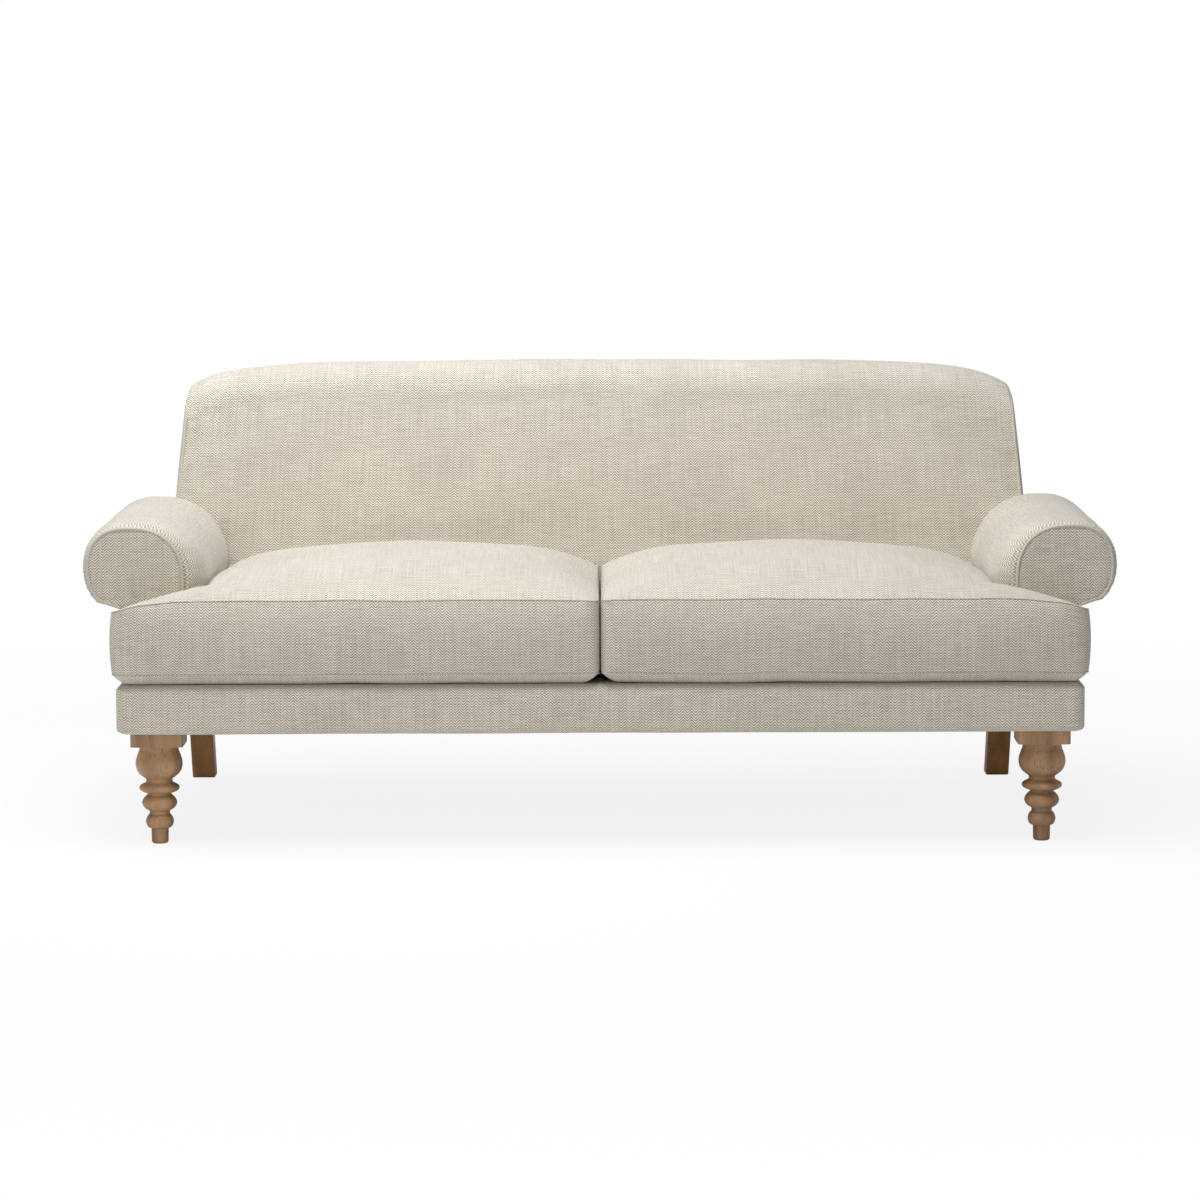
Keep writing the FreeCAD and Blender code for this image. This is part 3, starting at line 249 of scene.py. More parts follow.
def loop_uv(across, points):
    """UV pairs of a grid that wraps: a number for each row, and the distance walked round it."""
    girth = run_length(close_loop(points), 1)
    return np.stack([np.repeat(across[:, None], girth.shape[1], 1), girth], -1)


cream = herringbone("cream_herringbone", CREAM_LIGHT, CREAM_DARK)
section = bar_loop(BORDER_FRONT, BORDER_BACK, BORDER_FLOOR, BORDER_TOP, BORDER_LOW_ROUND, BORDER_ROUND, 9)
straight = BORDER_HALF - BORDER_ROUND
end_x = straight + BORDER_ROUND * np.sin(np.linspace(0, math.pi / 2, 14))
x = np.concatenate([-end_x[::-1], np.linspace(-end_x[0], end_x[0], 300)[1:-1], end_x])
turned = np.clip((np.abs(x) - straight) / BORDER_ROUND, 0, 1)
turned = BORDER_ROUND * (1 - np.sqrt(1 - turned**2))
middle_z = (BORDER_FLOOR + BORDER_TOP) / 2
points = sweep(x, section)
points[..., 1] = np.maximum(points[..., 1], BORDER_FRONT + turned[:, None])
points[..., 2] += (middle_z - points[..., 2]) * (turned * BORDER_PINCH / BORDER_ROUND)[:, None]
on_front = 1 - smooth_step(points[..., 1], BORDER_FRONT, BORDER_FRONT + 0.05)
ripple = soft_noise(points * (1, 0.3, 2), 0.16, 3) * BORDER_RIPPLE
swell = BORDER_SWELL * np.sin(math.pi * (points[..., 2] - BORDER_FLOOR) / BORDER_SWELL_HEIGHT)
points[..., 1] -= on_front * (ripple + swell)
points[..., 2] += BORDER_WAVE * soft_noise(points * (1, 0, 0), 0.3, 4) * (points[..., 2] < middle_z)
border = grid_piece("front_border", points, loop_uv(x, points), cream, wrap=True, caps=True)
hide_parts("front_border_cover", "front_border_pad")

# Seat deck. A felt laid over the springs with a plain calico cloth tacked over it, on which the loose
# cushions rest. It shows only when a cushion is lifted off.
SEAT_Z = 0.324
DECK_HALF = 0.7847
DECK_FRONT = -0.372
DECK_REAR = 0.190
DECK_FLOOR = 0.3133
DECK_EDGE = 0.004
DECK_DIP = 0.0010
DECK_RIPPLE = 0.0009


def plain_cloth(name, light, dark, thread):
    """A plain woven cloth: two fine waves across each other on the piece's own UV map, with soft blotches."""
    made, tree, surface = blank_finish(name, 0.9)
    surface.inputs["Specular IOR Level"].default_value = 0.2
    place = add_node(tree, "ShaderNodeUVMap", uv_map="weave").outputs[0]
    ends = add_node(tree, "ShaderNodeSeparateXYZ", [(0, place)]).outputs[:2]
    turns = [math_node(tree, "MULTIPLY", end, 2 * math.pi / thread) for end in ends]
    weave = math_node(tree, "MULTIPLY", *(math_node(tree, "SINE", turn) for turn in turns))
    fleck = remap(tree, weave, (-1.0, 1.0), (-0.22, 0.22))
    level = math_node(tree, "ADD", noise(tree, place, 35.0, 5.0), fleck, clamp=True)
    dress(tree, surface, mix_colours(tree, level, dark, light), weave, 0.5, thread / 8)
    return made


calico = plain_cloth("platform_calico", (0.66, 0.61, 0.52), (0.46, 0.42, 0.35), 0.0012)
section = bar_loop(DECK_FRONT, DECK_REAR, DECK_FLOOR, SEAT_Z, DECK_EDGE, DECK_EDGE, 5)
top_y = np.linspace(DECK_FRONT + DECK_EDGE, DECK_REAR, 40)[1:]
section = np.concatenate([section[:-11], np.stack([top_y, np.full(len(top_y), SEAT_Z)], -1)])
x = np.linspace(-DECK_HALF, DECK_HALF, 121)
points = sweep(x, section)
inside = smooth_step(DECK_HALF - np.abs(x), 0, 0.05)[:, None] * (section[None, :, 1] > SEAT_Z - 0.001)
points[..., 2] -= inside * (DECK_DIP + DECK_RIPPLE * soft_noise(points * (1, 1, 0), 0.12, 71))
deck = grid_piece("seat_deck", points, loop_uv(x, points), calico, wrap=True, caps=True)
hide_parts("seat_deck_cloth", "seat_deck_pad")

# Dust cover. One thin dark grey cloth tacked under the frame, cut out at the four legs, hanging a little
# slack between the rails.
DUST_HALF = 0.938
DUST_FRONT = -0.453
DUST_REAR = 0.372
DUST_TOP = 0.2268
DUST_THICKNESS = 0.0009
FRONT_CUT_X = 0.827
FRONT_CUT_Y = -0.368
REAR_CUT_X = 0.8438
REAR_CUT_Y = 0.323
DUST_SAG = 0.004

dust_cloth = plain_cloth("dust_cloth", (0.10, 0.10, 0.105), (0.045, 0.045, 0.048), 0.0016)
x = np.unique(np.concatenate([
    np.linspace(-DUST_HALF, DUST_HALF, 107), [-REAR_CUT_X, -FRONT_CUT_X, FRONT_CUT_X, REAR_CUT_X],
]))
y = np.unique(np.concatenate([np.linspace(DUST_FRONT, DUST_REAR, 47), [FRONT_CUT_Y, REAR_CUT_Y]]))
grid_x, grid_y = np.meshgrid(x, y, indexing="ij")
rim_gap = np.minimum.reduce([DUST_HALF - np.abs(grid_x), grid_y - DUST_FRONT, DUST_REAR - grid_y])
waver = 1 + 0.3 * soft_noise(np.stack([grid_x, grid_y, 0 * grid_x], -1), 0.2, 75)
slack = smooth_step(rim_gap, 0.03, 0.22) * waver
points = np.stack([grid_x, grid_y, DUST_TOP - DUST_SAG * slack], -1)
middle_x, middle_y = (x[:-1] + x[1:])[:, None] / 2, (y[:-1] + y[1:])[None, :] / 2
cut = ((np.abs(middle_x) > FRONT_CUT_X) & (middle_y < FRONT_CUT_Y)) | (
    (np.abs(middle_x) > REAR_CUT_X) & (middle_y > REAR_CUT_Y)
)
cell_x, cell_y = np.nonzero(~cut)
at = cell_x * len(y) + cell_y
faces = np.stack([at, at + len(y), at + len(y) + 1, at + 1], -1)
used, ids = np.unique(faces, return_inverse=True)
faces = ids.reshape(faces.shape)
points = points.reshape(-1, 3)[used]
dust = make_piece("dust_cover_sheet", points, faces, points[faces.ravel(), :2], dust_cloth)
wall = dust.modifiers.new("thickness", "SOLIDIFY")
wall.thickness, wall.offset = DUST_THICKNESS, -1
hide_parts("dust_cover")

# Hidden frame. Sawn hardwood rails and boards, steel springs, clips and bolts, and jute webbing keep their
# CAD shapes and get their own surfaces, by the record's material of each.


def solid_finish(name, light, dark, drawn, scale, roughness, metal=0.0, relief=0.0003):
    """Streaks and specks on object coordinates: noise drawn out along an axis mixes the two colours."""
    made, tree, surface = blank_finish(name, roughness)
    surface.inputs["Metallic"].default_value = metal
    place = add_node(tree, "ShaderNodeTexCoord").outputs["Object"]
    streak = noise(tree, stretch(tree, place, drawn), scale, 6.0, 0.5)
    share = remap(tree, streak, (0.3, 0.7), (0.0, 1.0))
    dress(tree, surface, mix_colours(tree, share, dark, light), streak, 0.4, relief)
    return made


hidden_finishes = {
    "frame_timber": solid_finish("sawn_beech", (0.62, 0.45, 0.29), (0.42, 0.28, 0.16), (0.5, 6, 6), 9, 0.75),
    "spring_steel": solid_finish(
        "oiled_steel", (0.42, 0.42, 0.43), (0.22, 0.22, 0.23), (1, 1, 1), 60, 0.4, metal=1.0, relief=0.0001
    ),
    "webbing": solid_finish("jute_webbing", (0.50, 0.40, 0.25), (0.30, 0.23, 0.13), (4, 4, 1), 90, 0.95),
    "padding": solid_finish(
        "cotton_felt", (0.74, 0.72, 0.68), (0.55, 0.53, 0.49), (1, 1, 3), 70, 0.98, relief=0.001
    ),
}
for name in nodes:
    for place in bpy.data.objects[name].material_slots:
        if place.material.name in hidden_finishes:
            place.material = hidden_finishes[place.material.name]

# Roll arms. A scroll shaped board at the front and another at the back carry padding and the same cream
# cloth, which is gathered over a rounded shoulder into the cord round the front panel.
ARM_FACE_X = 0.834
ARM_PADDING = 0.048
ARM_ROLL_X = 0.943
ARM_ROLL_Z = 0.545
ARM_ROLL_RADIUS = 0.081
ARM_ROLL_PADDING = 0.015
ARM_FLAT = 0.002
SCROLL_POWER = 0.84
ARM_ROLL_END = math.radians(-48)
ARM_NECK_Z = 0.467
ARM_OUTSIDE_X = 0.957
ARM_FRONT = -0.3715
ARM_REAR = 0.384
ARM_NOSE = 0.080
ARM_DROP = 0.024
ARM_DROP_START = 0.190
ARM_GATHER = 0.0007
CORD_RADIUS = 0.0034

# Shares of the walk over the arm at which its face, shoulder, flat and roll end.
WALK_FACE_END = 0.24
WALK_SHOULDER_END = 0.50
WALK_FLAT_LOW = 0.51
WALK_FLAT_HIGH = 0.52
WALK_ROLL_END = 0.90


def full(value, power):
    """A sine or cosine raised to a power under 1 with its sign kept, which makes a round corner squarer."""
    return np.sign(value) * np.abs(value) ** power


def scroll(walk, swell, drop, inset):
    """The arm's outline at a share of its walk: inside face, shoulder arc, flat, roll arc and neck.

    A swell of 0 is the front panel's scroll and 1 the padded arm. Gives x and z for whole arrays.
    """
    power = SCROLL_POWER + (1 - SCROLL_POWER) * 0.75 * swell
    radius = ARM_ROLL_RADIUS + swell * ARM_ROLL_PADDING
    inner = ARM_FACE_X - swell * ARM_PADDING
    shoulder_x = ARM_ROLL_X - ARM_FLAT - swell * ARM_ROLL_PADDING
    shoulder = shoulder_x - inner
    roll_z = ARM_ROLL_Z - drop
    shoulder_z = roll_z + radius - shoulder
    neck_z = ARM_NECK_Z - swell * 0.005 - drop + inset
    foot_z = SEAT_Z - 0.004
    face = np.clip(walk / WALK_FACE_END, 0, 1)
    turn = math.pi - np.clip((walk - WALK_FACE_END) / (WALK_SHOULDER_END - WALK_FACE_END), 0, 1) * math.pi / 2
    over = np.clip((walk - WALK_FLAT_HIGH) / (WALK_ROLL_END - WALK_FLAT_HIGH), 0, 1)
    over = math.pi / 2 + over * (ARM_ROLL_END - math.pi / 2)
    tuck = np.clip((walk - WALK_ROLL_END) / (1 - WALK_ROLL_END), 0, 1)
    end_x = ARM_ROLL_X + (radius - inset) * full(math.cos(ARM_ROLL_END), power)
    end_z = roll_z + (radius - inset) * full(math.sin(ARM_ROLL_END), power)
    parts = [walk < WALK_FACE_END, walk <= WALK_FLAT_LOW, walk <= WALK_ROLL_END]
    x = np.select(
        parts,
        [inner + inset + 0 * walk, shoulder_x + (shoulder - inset) * full(np.cos(turn), power),
         ARM_ROLL_X + (radius - inset) * full(np.cos(over), power)],
        end_x + (ARM_OUTSIDE_X - inset - end_x) * tuck,
    )
    z = np.select(
        parts,
        [foot_z + (shoulder_z - foot_z) * face, shoulder_z + (shoulder - inset) * full(np.sin(turn), power),
         roll_z + (radius - inset) * full(np.sin(over), power)],
        end_z + (neck_z - end_z) * tuck,
    )
    return x, z


def arm_drop(y):
    """How far the arm has sunk at a depth: nothing in front, and an even S down to the back."""
    return ARM_DROP * smooth_step(y, ARM_DROP_START - 0.03, ARM_REAR + 0.04)


def quarter_round(gap, width):
    """0 at an edge and 1 at a width inside it, rising as a quarter circle does."""
    return np.sqrt(1 - (1 - np.clip(gap / width, 0, 1)) ** 2)


def span_grid(first, last, share, rows, axis):
    """A panel's grid in the plane of an axis and z, spread from first to last in each row."""
    panel = np.zeros((len(rows), len(share), 3))
    panel[..., axis] = first[:, None] + (last - first)[:, None] * share[None, :]
    panel[..., 2] = rows[:, None]
    return panel


def mirror_grid(points, side):
    """The grid as it is on the right, or its mirror image on the left."""
    return points * (SIDES[side], 1, 1)


def tube_piece(name, path, radius, finish, closed=False, sides=12, body="sofa_frame"):
    """A round cord along a path of points: a ring of points square to the path at each of them."""
    ahead = np.roll(path, -1, 0) - np.roll(path, 1, 0)
    if not closed:
        ahead[0], ahead[-1] = path[1] - path[0], path[-1] - path[-2]
    ahead /= np.linalg.norm(ahead, axis=1, keepdims=True)
    centre = path.mean(0)
    plane = np.linalg.svd(path - centre, full_matrices=False)[2][2]
    out = np.cross(ahead, plane)
    out /= np.linalg.norm(out, axis=1, keepdims=True)
    up = np.cross(out, ahead)
    turn = np.linspace(0, 2 * math.pi, sides, endpoint=False)
    ring = out[:, None] * np.cos(turn)[None, :, None] + up[:, None] * np.sin(turn)[None, :, None]
    points = path[:, None] + ring * radius
    if closed:
        points = np.concatenate([points, points[:1]])
        path = np.concatenate([path, path[:1]])
    along = run_length(path[:, None], 0)
    girth = np.linspace(0, 2 * math.pi * radius, sides + 1)
    uv = np.stack([np.repeat(girth[None], len(path), 0), np.repeat(along, sides + 1, 1)], -1)
    return grid_piece(name, points, uv, finish, wrap=True, caps=not closed, body=body)


piping_cloth = herringbone(
    "piping_herringbone", CREAM_LIGHT, CREAM_DARK, column=0.03, pitch=0.0042, depth=0.0002, contrast=0.6
)


def cord_piece(name, line, side):
    """A piping cord along a line, on one side of the sofa."""
    path = mirror_grid(line, side)
    return tube_piece(f"{name}_{side}", path, CORD_RADIUS, piping_cloth)


walk = np.concatenate([
    np.linspace(0, WALK_FACE_END, 30)[:-1], np.linspace(WALK_FACE_END, WALK_FLAT_LOW, 40)[:-1],
    np.linspace(WALK_FLAT_HIGH, WALK_ROLL_END, 60)[:-1], np.linspace(WALK_ROLL_END, 1, 10),
])
nose = 1 - np.cos(np.linspace(0, math.pi / 2, 26))
body_y = np.linspace(ARM_FRONT + ARM_NOSE, ARM_REAR, 90)[1:]
arm_y = np.concatenate([ARM_FRONT + ARM_NOSE * nose, body_y])
swell = np.concatenate([quarter_round(nose, 1), np.ones(len(body_y))])
arm_x, arm_z = scroll(walk[None, :], swell[:, None], arm_drop(arm_y)[:, None], 0.0)
arm_base = np.stack([arm_x, np.repeat(arm_y[:, None], len(walk), 1), arm_z], -1)
scroll_x, scroll_z = scroll(walk, 0.0, 0.0, 0.0)
scroll_line = np.stack([scroll_x, np.full(len(walk), ARM_FRONT - 0.0035), scroll_z], -1)
near_nose = np.exp(-((arm_y - ARM_FRONT - 0.012) / 0.022) ** 2)[:, None]
upper = (smooth_step(walk, 0.2, 0.3) * (1 - smooth_step(walk, 0.86, 0.95)))[None, :]
inner_limit = ARM_FACE_X - ARM_PADDING + 0.0002
for side in SIDES:
    points = mirror_grid(arm_base, side)
    outward = (points - np.array([ARM_ROLL_X * SIDES[side], 0, ARM_ROLL_Z - 0.05])) * (1, 0, 1)
    outward /= np.linalg.norm(outward, axis=-1, keepdims=True)
    gathers = np.sin(walk * 190 + 1.5 * np.sin(walk * 31 + SIDES[side]))[None, :]
    puff = 0.0011 * soft_noise(points, 0.19, 11) + ARM_GATHER * gathers * near_nose * upper
    points = points + outward * (puff * smooth_step(arm_y, ARM_FRONT, ARM_FRONT + 0.02)[:, None])[..., None]
    points[..., 0] = SIDES[side] * np.maximum(points[..., 0] * SIDES[side], inner_limit)
    uv = loop_uv(run_length(points, 0)[:, 60], points)[..., ::-1]
    arm = grid_piece(
        f"arm_cover_and_padding_{side}", points, uv, cream, wrap=True, caps=True,
        flip=side == "right",
    )
    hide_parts(f"arm_cover_{side}", f"arm_pad_{side}")
    cord = cord_piece("arm_cord", scroll_line, side)
    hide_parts("arm_piping")

    # The inset scroll panel at the arm's front: board and thin felt under the cloth, inside the cord.
    foot_z, top_z = SEAT_Z + 0.001, ARM_ROLL_Z + ARM_ROLL_RADIUS - 0.0008
    z = foot_z + (top_z - foot_z) * np.sin(np.linspace(0, math.pi / 2, 70))
    rising, falling = walk <= 0.505, walk >= 0.505
    left = np.interp(z, scroll_z[rising], scroll_x[rising])
    right = np.interp(z, scroll_z[falling][::-1], scroll_x[falling][::-1], left=ARM_OUTSIDE_X)
    panel = span_grid(left, right, (1 - np.cos(np.linspace(0, math.pi, 42))) / 2, z, 0)
    rim = np.minimum((panel[..., 0] - left[:, None]), (right[:, None] - panel[..., 0]))
    dome = quarter_round(np.minimum(rim, (top_z - z)[:, None]), 0.020)
    panel[..., 1] = ARM_FRONT - 0.0005 - 0.0058 * dome
    panel[..., 1] -= 0.0004 * soft_noise(panel, 0.08, 5) * dome
    panel = mirror_grid(panel, side)
    facing = grid_piece(
        f"arm_front_panel_{side}", panel, panel[..., [0, 2]], cream, flip=side == "left",
    )
    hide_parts(f"arm_facing_{side}")

# Outside arm panels. Card lined cloth, tacked under the roll and pulled down over the side rail.
PANEL_FOOT = 0.2272
PANEL_TOP = 0.462
PANEL_SWELL = 0.0016

y = np.linspace(ARM_FRONT + 0.001, ARM_REAR, 110)
share = np.linspace(0, 1, 40)
ends = smooth_step(y, y[0], y[0] + 0.02) * (1 - smooth_step(y, y[-1] - 0.02, y[-1]))
hold = np.sin(math.pi * share)[:, None] ** 0.6 * ends[None, :]
for side in SIDES:
    panel = np.zeros((len(share), len(y), 3))
    panel[..., 1] = y[None, :]
    panel[..., 2] = PANEL_FOOT + (PANEL_TOP - arm_drop(y)[None, :] - PANEL_FOOT) * share[:, None]
    round_foot = quarter_round(panel[..., 2] - PANEL_FOOT, 0.008)
    panel[..., 0] = ARM_OUTSIDE_X - 0.006 * (1 - round_foot) + PANEL_SWELL * hold
    panel[..., 0] += 0.0006 * soft_noise(panel, 0.22, 21 + SIDES[side]) * hold
    panel = mirror_grid(panel, side)
    outside = grid_piece(
        f"arm_outside_panel_{side}_cloth", panel, panel[..., 1:], cream, flip=side == "right",
    )
    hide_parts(f"arm_outside_panel_{side}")

# Tight back. One sheet of the same cloth over a thick pad: up the leaning face, over a round roll that is
# lower towards its ends, and down behind, with a cord and a soft side panel at each end.
BACK_HEIGHT = 0.922
BACK_ROLL = 0.085
BACK_LEAN = math.radians(13)
BACK_FACE_Y = 0.120
BACK_REAR = 0.384
BACK_SIDE_X = 0.929
BACK_SIDE_LEAN = math.tan(math.radians(4.86))
CROWN_BOW = 0.014
CORNER_DROP = 0.048
CROWN_REACH = 0.885
SIDE_CORD_INSET = 0.0092
BACK_PUFF = 0.007


def back_top(x):
    """The crest's height: a slight bow by the distance squared, and a round corner by its 14th power."""
    out = np.abs(x) / CROWN_REACH
    return BACK_HEIGHT - CROWN_BOW * out**2 - CORNER_DROP * out**14


def back_side_x(z, inset):
    """How far out the leaning side plane is at a height, less an inset."""
    return BACK_SIDE_X - (z - SEAT_Z) * BACK_SIDE_LEAN - inset


def back_centre(top):
    """The middle of the top roll, its y and z, and the height at which the face meets the roll."""
    centre_z = top - BACK_ROLL
    tangent_z = centre_z + BACK_ROLL * math.sin(BACK_LEAN)
    centre_y = BACK_FACE_Y + (tangent_z - SEAT_Z) * math.tan(BACK_LEAN) + BACK_ROLL * math.cos(BACK_LEAN)
    return centre_y, centre_z, tangent_z


def back_walk(share, top, foot, inset=0.0):
    """The back's side view at a share of its walk: face, roll over the top, rear. Gives y and z."""
    radius = BACK_ROLL - inset
    centre_y, centre_z, _ = back_centre(top)
    start = math.pi - BACK_LEAN
    end = -np.arccos((BACK_REAR - inset - centre_y) / radius)
    turn = start + np.clip((share - 0.5) / 0.3, 0, 1) * (end - start)
    roll_y, roll_z = centre_y + radius * np.cos(turn), centre_z + radius * np.sin(turn)
    start_z = centre_z + radius * math.sin(start)
    start_y = centre_y + radius * math.cos(start)
    end_z = centre_z + radius * np.sin(end)
    face_height = foot + (start_z - foot) * np.clip(share / 0.5, 0, 1)
    face_y = start_y - (start_z - face_height) * math.tan(BACK_LEAN)
    parts = [share < 0.5, share <= 0.8]
    y = np.select(parts, [face_y, roll_y], BACK_REAR - inset)
    z = np.select(parts, [face_height, roll_z], end_z + (foot - end_z) * np.clip((share - 0.8) / 0.2, 0, 1))
    return y, z


share = np.concatenate([
    np.linspace(0, 0.5, 86)[:-1], np.linspace(0.5, 0.8, 44)[:-1], np.linspace(0.8, 1, 60),
])
place = np.sin(np.linspace(-1, 1, 281) * 1.2) / math.sin(1.2)
x = place[:, None] * back_side_x(0.7, SIDE_CORD_INSET)
for _ in range(3):
    y, z = back_walk(share[None, :], back_top(x), SEAT_Z - 0.010)
    x = place[:, None] * back_side_x(z, SIDE_CORD_INSET)
points = np.stack([x, y, z], -1)
edge = 1 - np.abs(place)[:, None] ** 6
face = smooth_step(z, 0.52, 0.60) * (1 - smooth_step(share, 0.5, 0.62))[None, :]
slack = soft_noise(points * (1, 0.6, 1), 0.34, 31) * 0.0016
slack += soft_noise(points * (1, 0.3, 2.4), 0.16, 32) * 0.0007
puff = face * (BACK_PUFF * edge * np.sin(math.pi * np.clip((z - 0.5) / 0.34, 0, 1)) + slack)
near_end = np.exp(-((1 - np.abs(place)) / 0.035) ** 2)[:, None]
over = (smooth_step(share, 0.44, 0.52) * (1 - smooth_step(share, 0.72, 0.8)))[None, :]
pull = np.sin(share * 150 + 2 * np.sin(share * 41))[None, :]
roll = 0.0009 * pull * near_end * over + 0.0012 * soft_noise(points, 0.25, 33) * over
points[..., 1] -= puff * math.cos(BACK_LEAN)
points[..., 2] += puff * math.sin(BACK_LEAN) + roll
uv = loop_uv(place * 0.9, points)
back = grid_piece("back_cover_and_padding", points, uv, cream, wrap=True, caps=True)
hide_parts("back_cover", "back_pad")

end_top = back_top(CROWN_REACH)
centre_y, centre_z, tangent_z = back_centre(end_top)
for side in SIDES:
    y, z = back_walk(np.linspace(0, 0.8, 150), end_top, SEAT_Z, inset=0.0012)
    line = np.stack([back_side_x(z, SIDE_CORD_INSET), y, z], -1)
    cord = cord_piece("back_cord", line, side)
    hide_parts("back_piping")

    # Side panel of the back: cloth over felt, domed out from the cord to the rear edge.
    radius = BACK_ROLL - 0.0022
    z = SEAT_Z + (centre_z + radius - 0.0004 - SEAT_Z) * np.sin(np.linspace(0, math.pi / 2, 110))
    half_chord = np.sqrt(np.clip(radius**2 - (z - centre_z) ** 2, 0, None))
    face_y = BACK_FACE_Y + (z - SEAT_Z) * math.tan(BACK_LEAN) + 0.0022
    front_y = np.where(z > tangent_z, centre_y - half_chord, face_y)
    rear_y = np.where(z > centre_z - radius * 0.7, centre_y + half_chord, BACK_REAR)
    rear_y = np.where(z < centre_z, np.minimum(np.maximum(rear_y, BACK_REAR), centre_y + radius), rear_y)
    panel = span_grid(front_y, rear_y, (1 - np.cos(np.linspace(0, math.pi, 50))) / 2, z, 1)
    rim = np.minimum(panel[..., 1] - front_y[:, None], rear_y[:, None] - panel[..., 1])
    dome = quarter_round(np.minimum(rim, (z[-1] - z)[:, None]), 0.040)
    panel[..., 0] = back_side_x(panel[..., 2], SIDE_CORD_INSET + 0.0005) + 0.0095 * dome
    panel[..., 0] += 0.0007 * soft_noise(panel, 0.2, 41) * dome
    panel = mirror_grid(panel, side)
    facing = grid_piece(
        f"back_side_panel_{side}", panel, panel[..., 1:], cream, flip=side == "left",
    )
    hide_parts(f"back_facing_{side}")

# Rear panel. One flat cloth panel, card lined, over the whole rear of back and arms.
REAR_NECK_Z = 0.4300
REAR_LINE_Z = 0.7900

rear_x, rear_z = scroll(np.linspace(1, 0.515, 60), 1.0, ARM_DROP, 0.0)
above_z = np.linspace(rear_z.max() + 0.0006, REAR_LINE_Z, 60)
z = np.concatenate([np.linspace(PANEL_FOOT, REAR_NECK_Z, 30), rear_z, above_z])
half = np.concatenate([np.full(30, ARM_OUTSIDE_X), rear_x, back_side_x(above_z, 0.010)])
points = span_grid(0 * half, half, np.linspace(-1, 1, 161), z, 0)
flat_top = back_top(points[..., 0]) - BACK_ROLL - 0.006
risen = np.clip((z - above_z[0]) / (REAR_LINE_Z - above_z[0]), 0, 1)[:, None]
points[..., 2] += (flat_top - REAR_LINE_Z) * risen
rim = np.minimum((half[:, None] - np.abs(points[..., 0])), (z - z[0])[:, None])
dome = quarter_round(rim, 0.012)
points[..., 1] = BACK_REAR + 0.0008 + 0.0052 * dome + 0.0005 * soft_noise(points, 0.3, 51) * dome
rear = grid_piece("rear_panel", points, points[..., [0, 2]], cream, flip=True)
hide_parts("back_outside_panel")

# Loose seat cushions. Feather wrapped filling in a T shaped cover with a boxed border and plain seams;
# the ear comes round in front of the arm. The filling is blown up by simulation, and the seams follow it.
CUSHION_INNER = 0.002
CUSHION_OUTER = 0.7845
CUSHION_EAR = 0.968
CUSHION_FRONT = -0.497
CUSHION_EAR_BACK = -0.3767
CUSHION_REAR = 0.1203
EAR_DEPTH = 0.1203
MAIN_DEPTH = 0.4970
CUSHION_DEPTH = 0.6173
EAR_MIDDLE = (CUSHION_OUTER, -0.43)
MAIN_MIDDLE = (0.4, -0.1)
CUSHION_FLOOR = 0.3243
CUSHION_SEAM = 0.4943
CUSHION_CROWN = 0.075
CUSHION_ROUND = 0.020
CUSHION_ROUND_REACH = 0.036
SEAM_HOLD = 0.35
SEAM_RADIUS = 0.0009
FILL_FRAMES = 20
FILL_CAP = 0.026
MIDDLE_LIMIT = 0.0012
ARM_LIMIT = 0.7850
CUSHION_STATIONS = np.array([
    (0.000, -0.05, 0.10, 0.00), (0.025, -0.02, 0.28, 0.05), (0.080, 0.00, 0.52, 0.10),
    (0.200, 0.00, 0.78, 0.12), (0.500, 0.00, 0.90, 0.12), (0.740, 0.00, 0.76, 0.12),
    (0.880, 0.00, 0.53, 0.09), (1.000, 0.00, 0.30, 0.05), (1.300, -0.02, 0.12, 0.00),
    (1.700, -0.12, -0.16, -0.30), (2.000, -0.30, -0.45, -0.60),
])


def cushion_rear(z):
    """Where the cushion's rear boxing lies at a height, parallel to the leaning back."""
    return BACK_FACE_Y + (z - SEAT_Z) * math.tan(BACK_LEAN) - 0.004


def cushion_place(x):
    """0 at the middle of the sofa, 1 at the arm, 2 at the end of the ear."""
    main = (x - CUSHION_INNER) / (CUSHION_OUTER - CUSHION_INNER)
    ear = (x - CUSHION_OUTER) / (CUSHION_EAR - CUSHION_OUTER)
    return np.where(x < CUSHION_OUTER, main, 1 + ear)


def cushion_top(x, depth):
    """The top's height: a curve through the front seam, the crest and the rear seam, full near the seams."""
    at = cushion_place(x)
    seam, crest, rear = (np.interp(at, CUSHION_STATIONS[:, 0], CUSHION_STATIONS[:, i]) for i in (1, 2, 3))
    hump = np.clip(4 * depth * (1 - depth), 0, 1) ** 0.8
    base = seam + (rear - seam) * depth
    return CUSHION_SEAM + CUSHION_CROWN * (base + (crest - (seam + rear) / 2) * hump)


def rounded(x, y, corners):
    """Plan points with each square corner cell of a given radius mapped onto a quarter disc."""
    for corner_x, corner_y, radius in corners:
        middle_x, middle_y = EAR_MIDDLE if corner_y < CUSHION_EAR_BACK + 0.01 else MAIN_MIDDLE
        toward_x, toward_y = np.sign(corner_x - middle_x), np.sign(corner_y - middle_y)
        p = np.clip(radius - (corner_x - x) * toward_x, 0, radius)
        q = np.clip(radius - (corner_y - y) * toward_y, 0, radius)
        in_cell = (p > 0) & (q > 0) & (np.abs(corner_x - x) <= radius) & (np.abs(corner_y - y) <= radius)
        new_p = p * np.sqrt(1 - q**2 / (2 * radius**2))
        new_q = q * np.sqrt(1 - p**2 / (2 * radius**2))
        x = np.where(in_cell, corner_x + toward_x * (new_p - radius), x)
        y = np.where(in_cell, corner_y + toward_y * (new_q - radius), y)
    return x, y


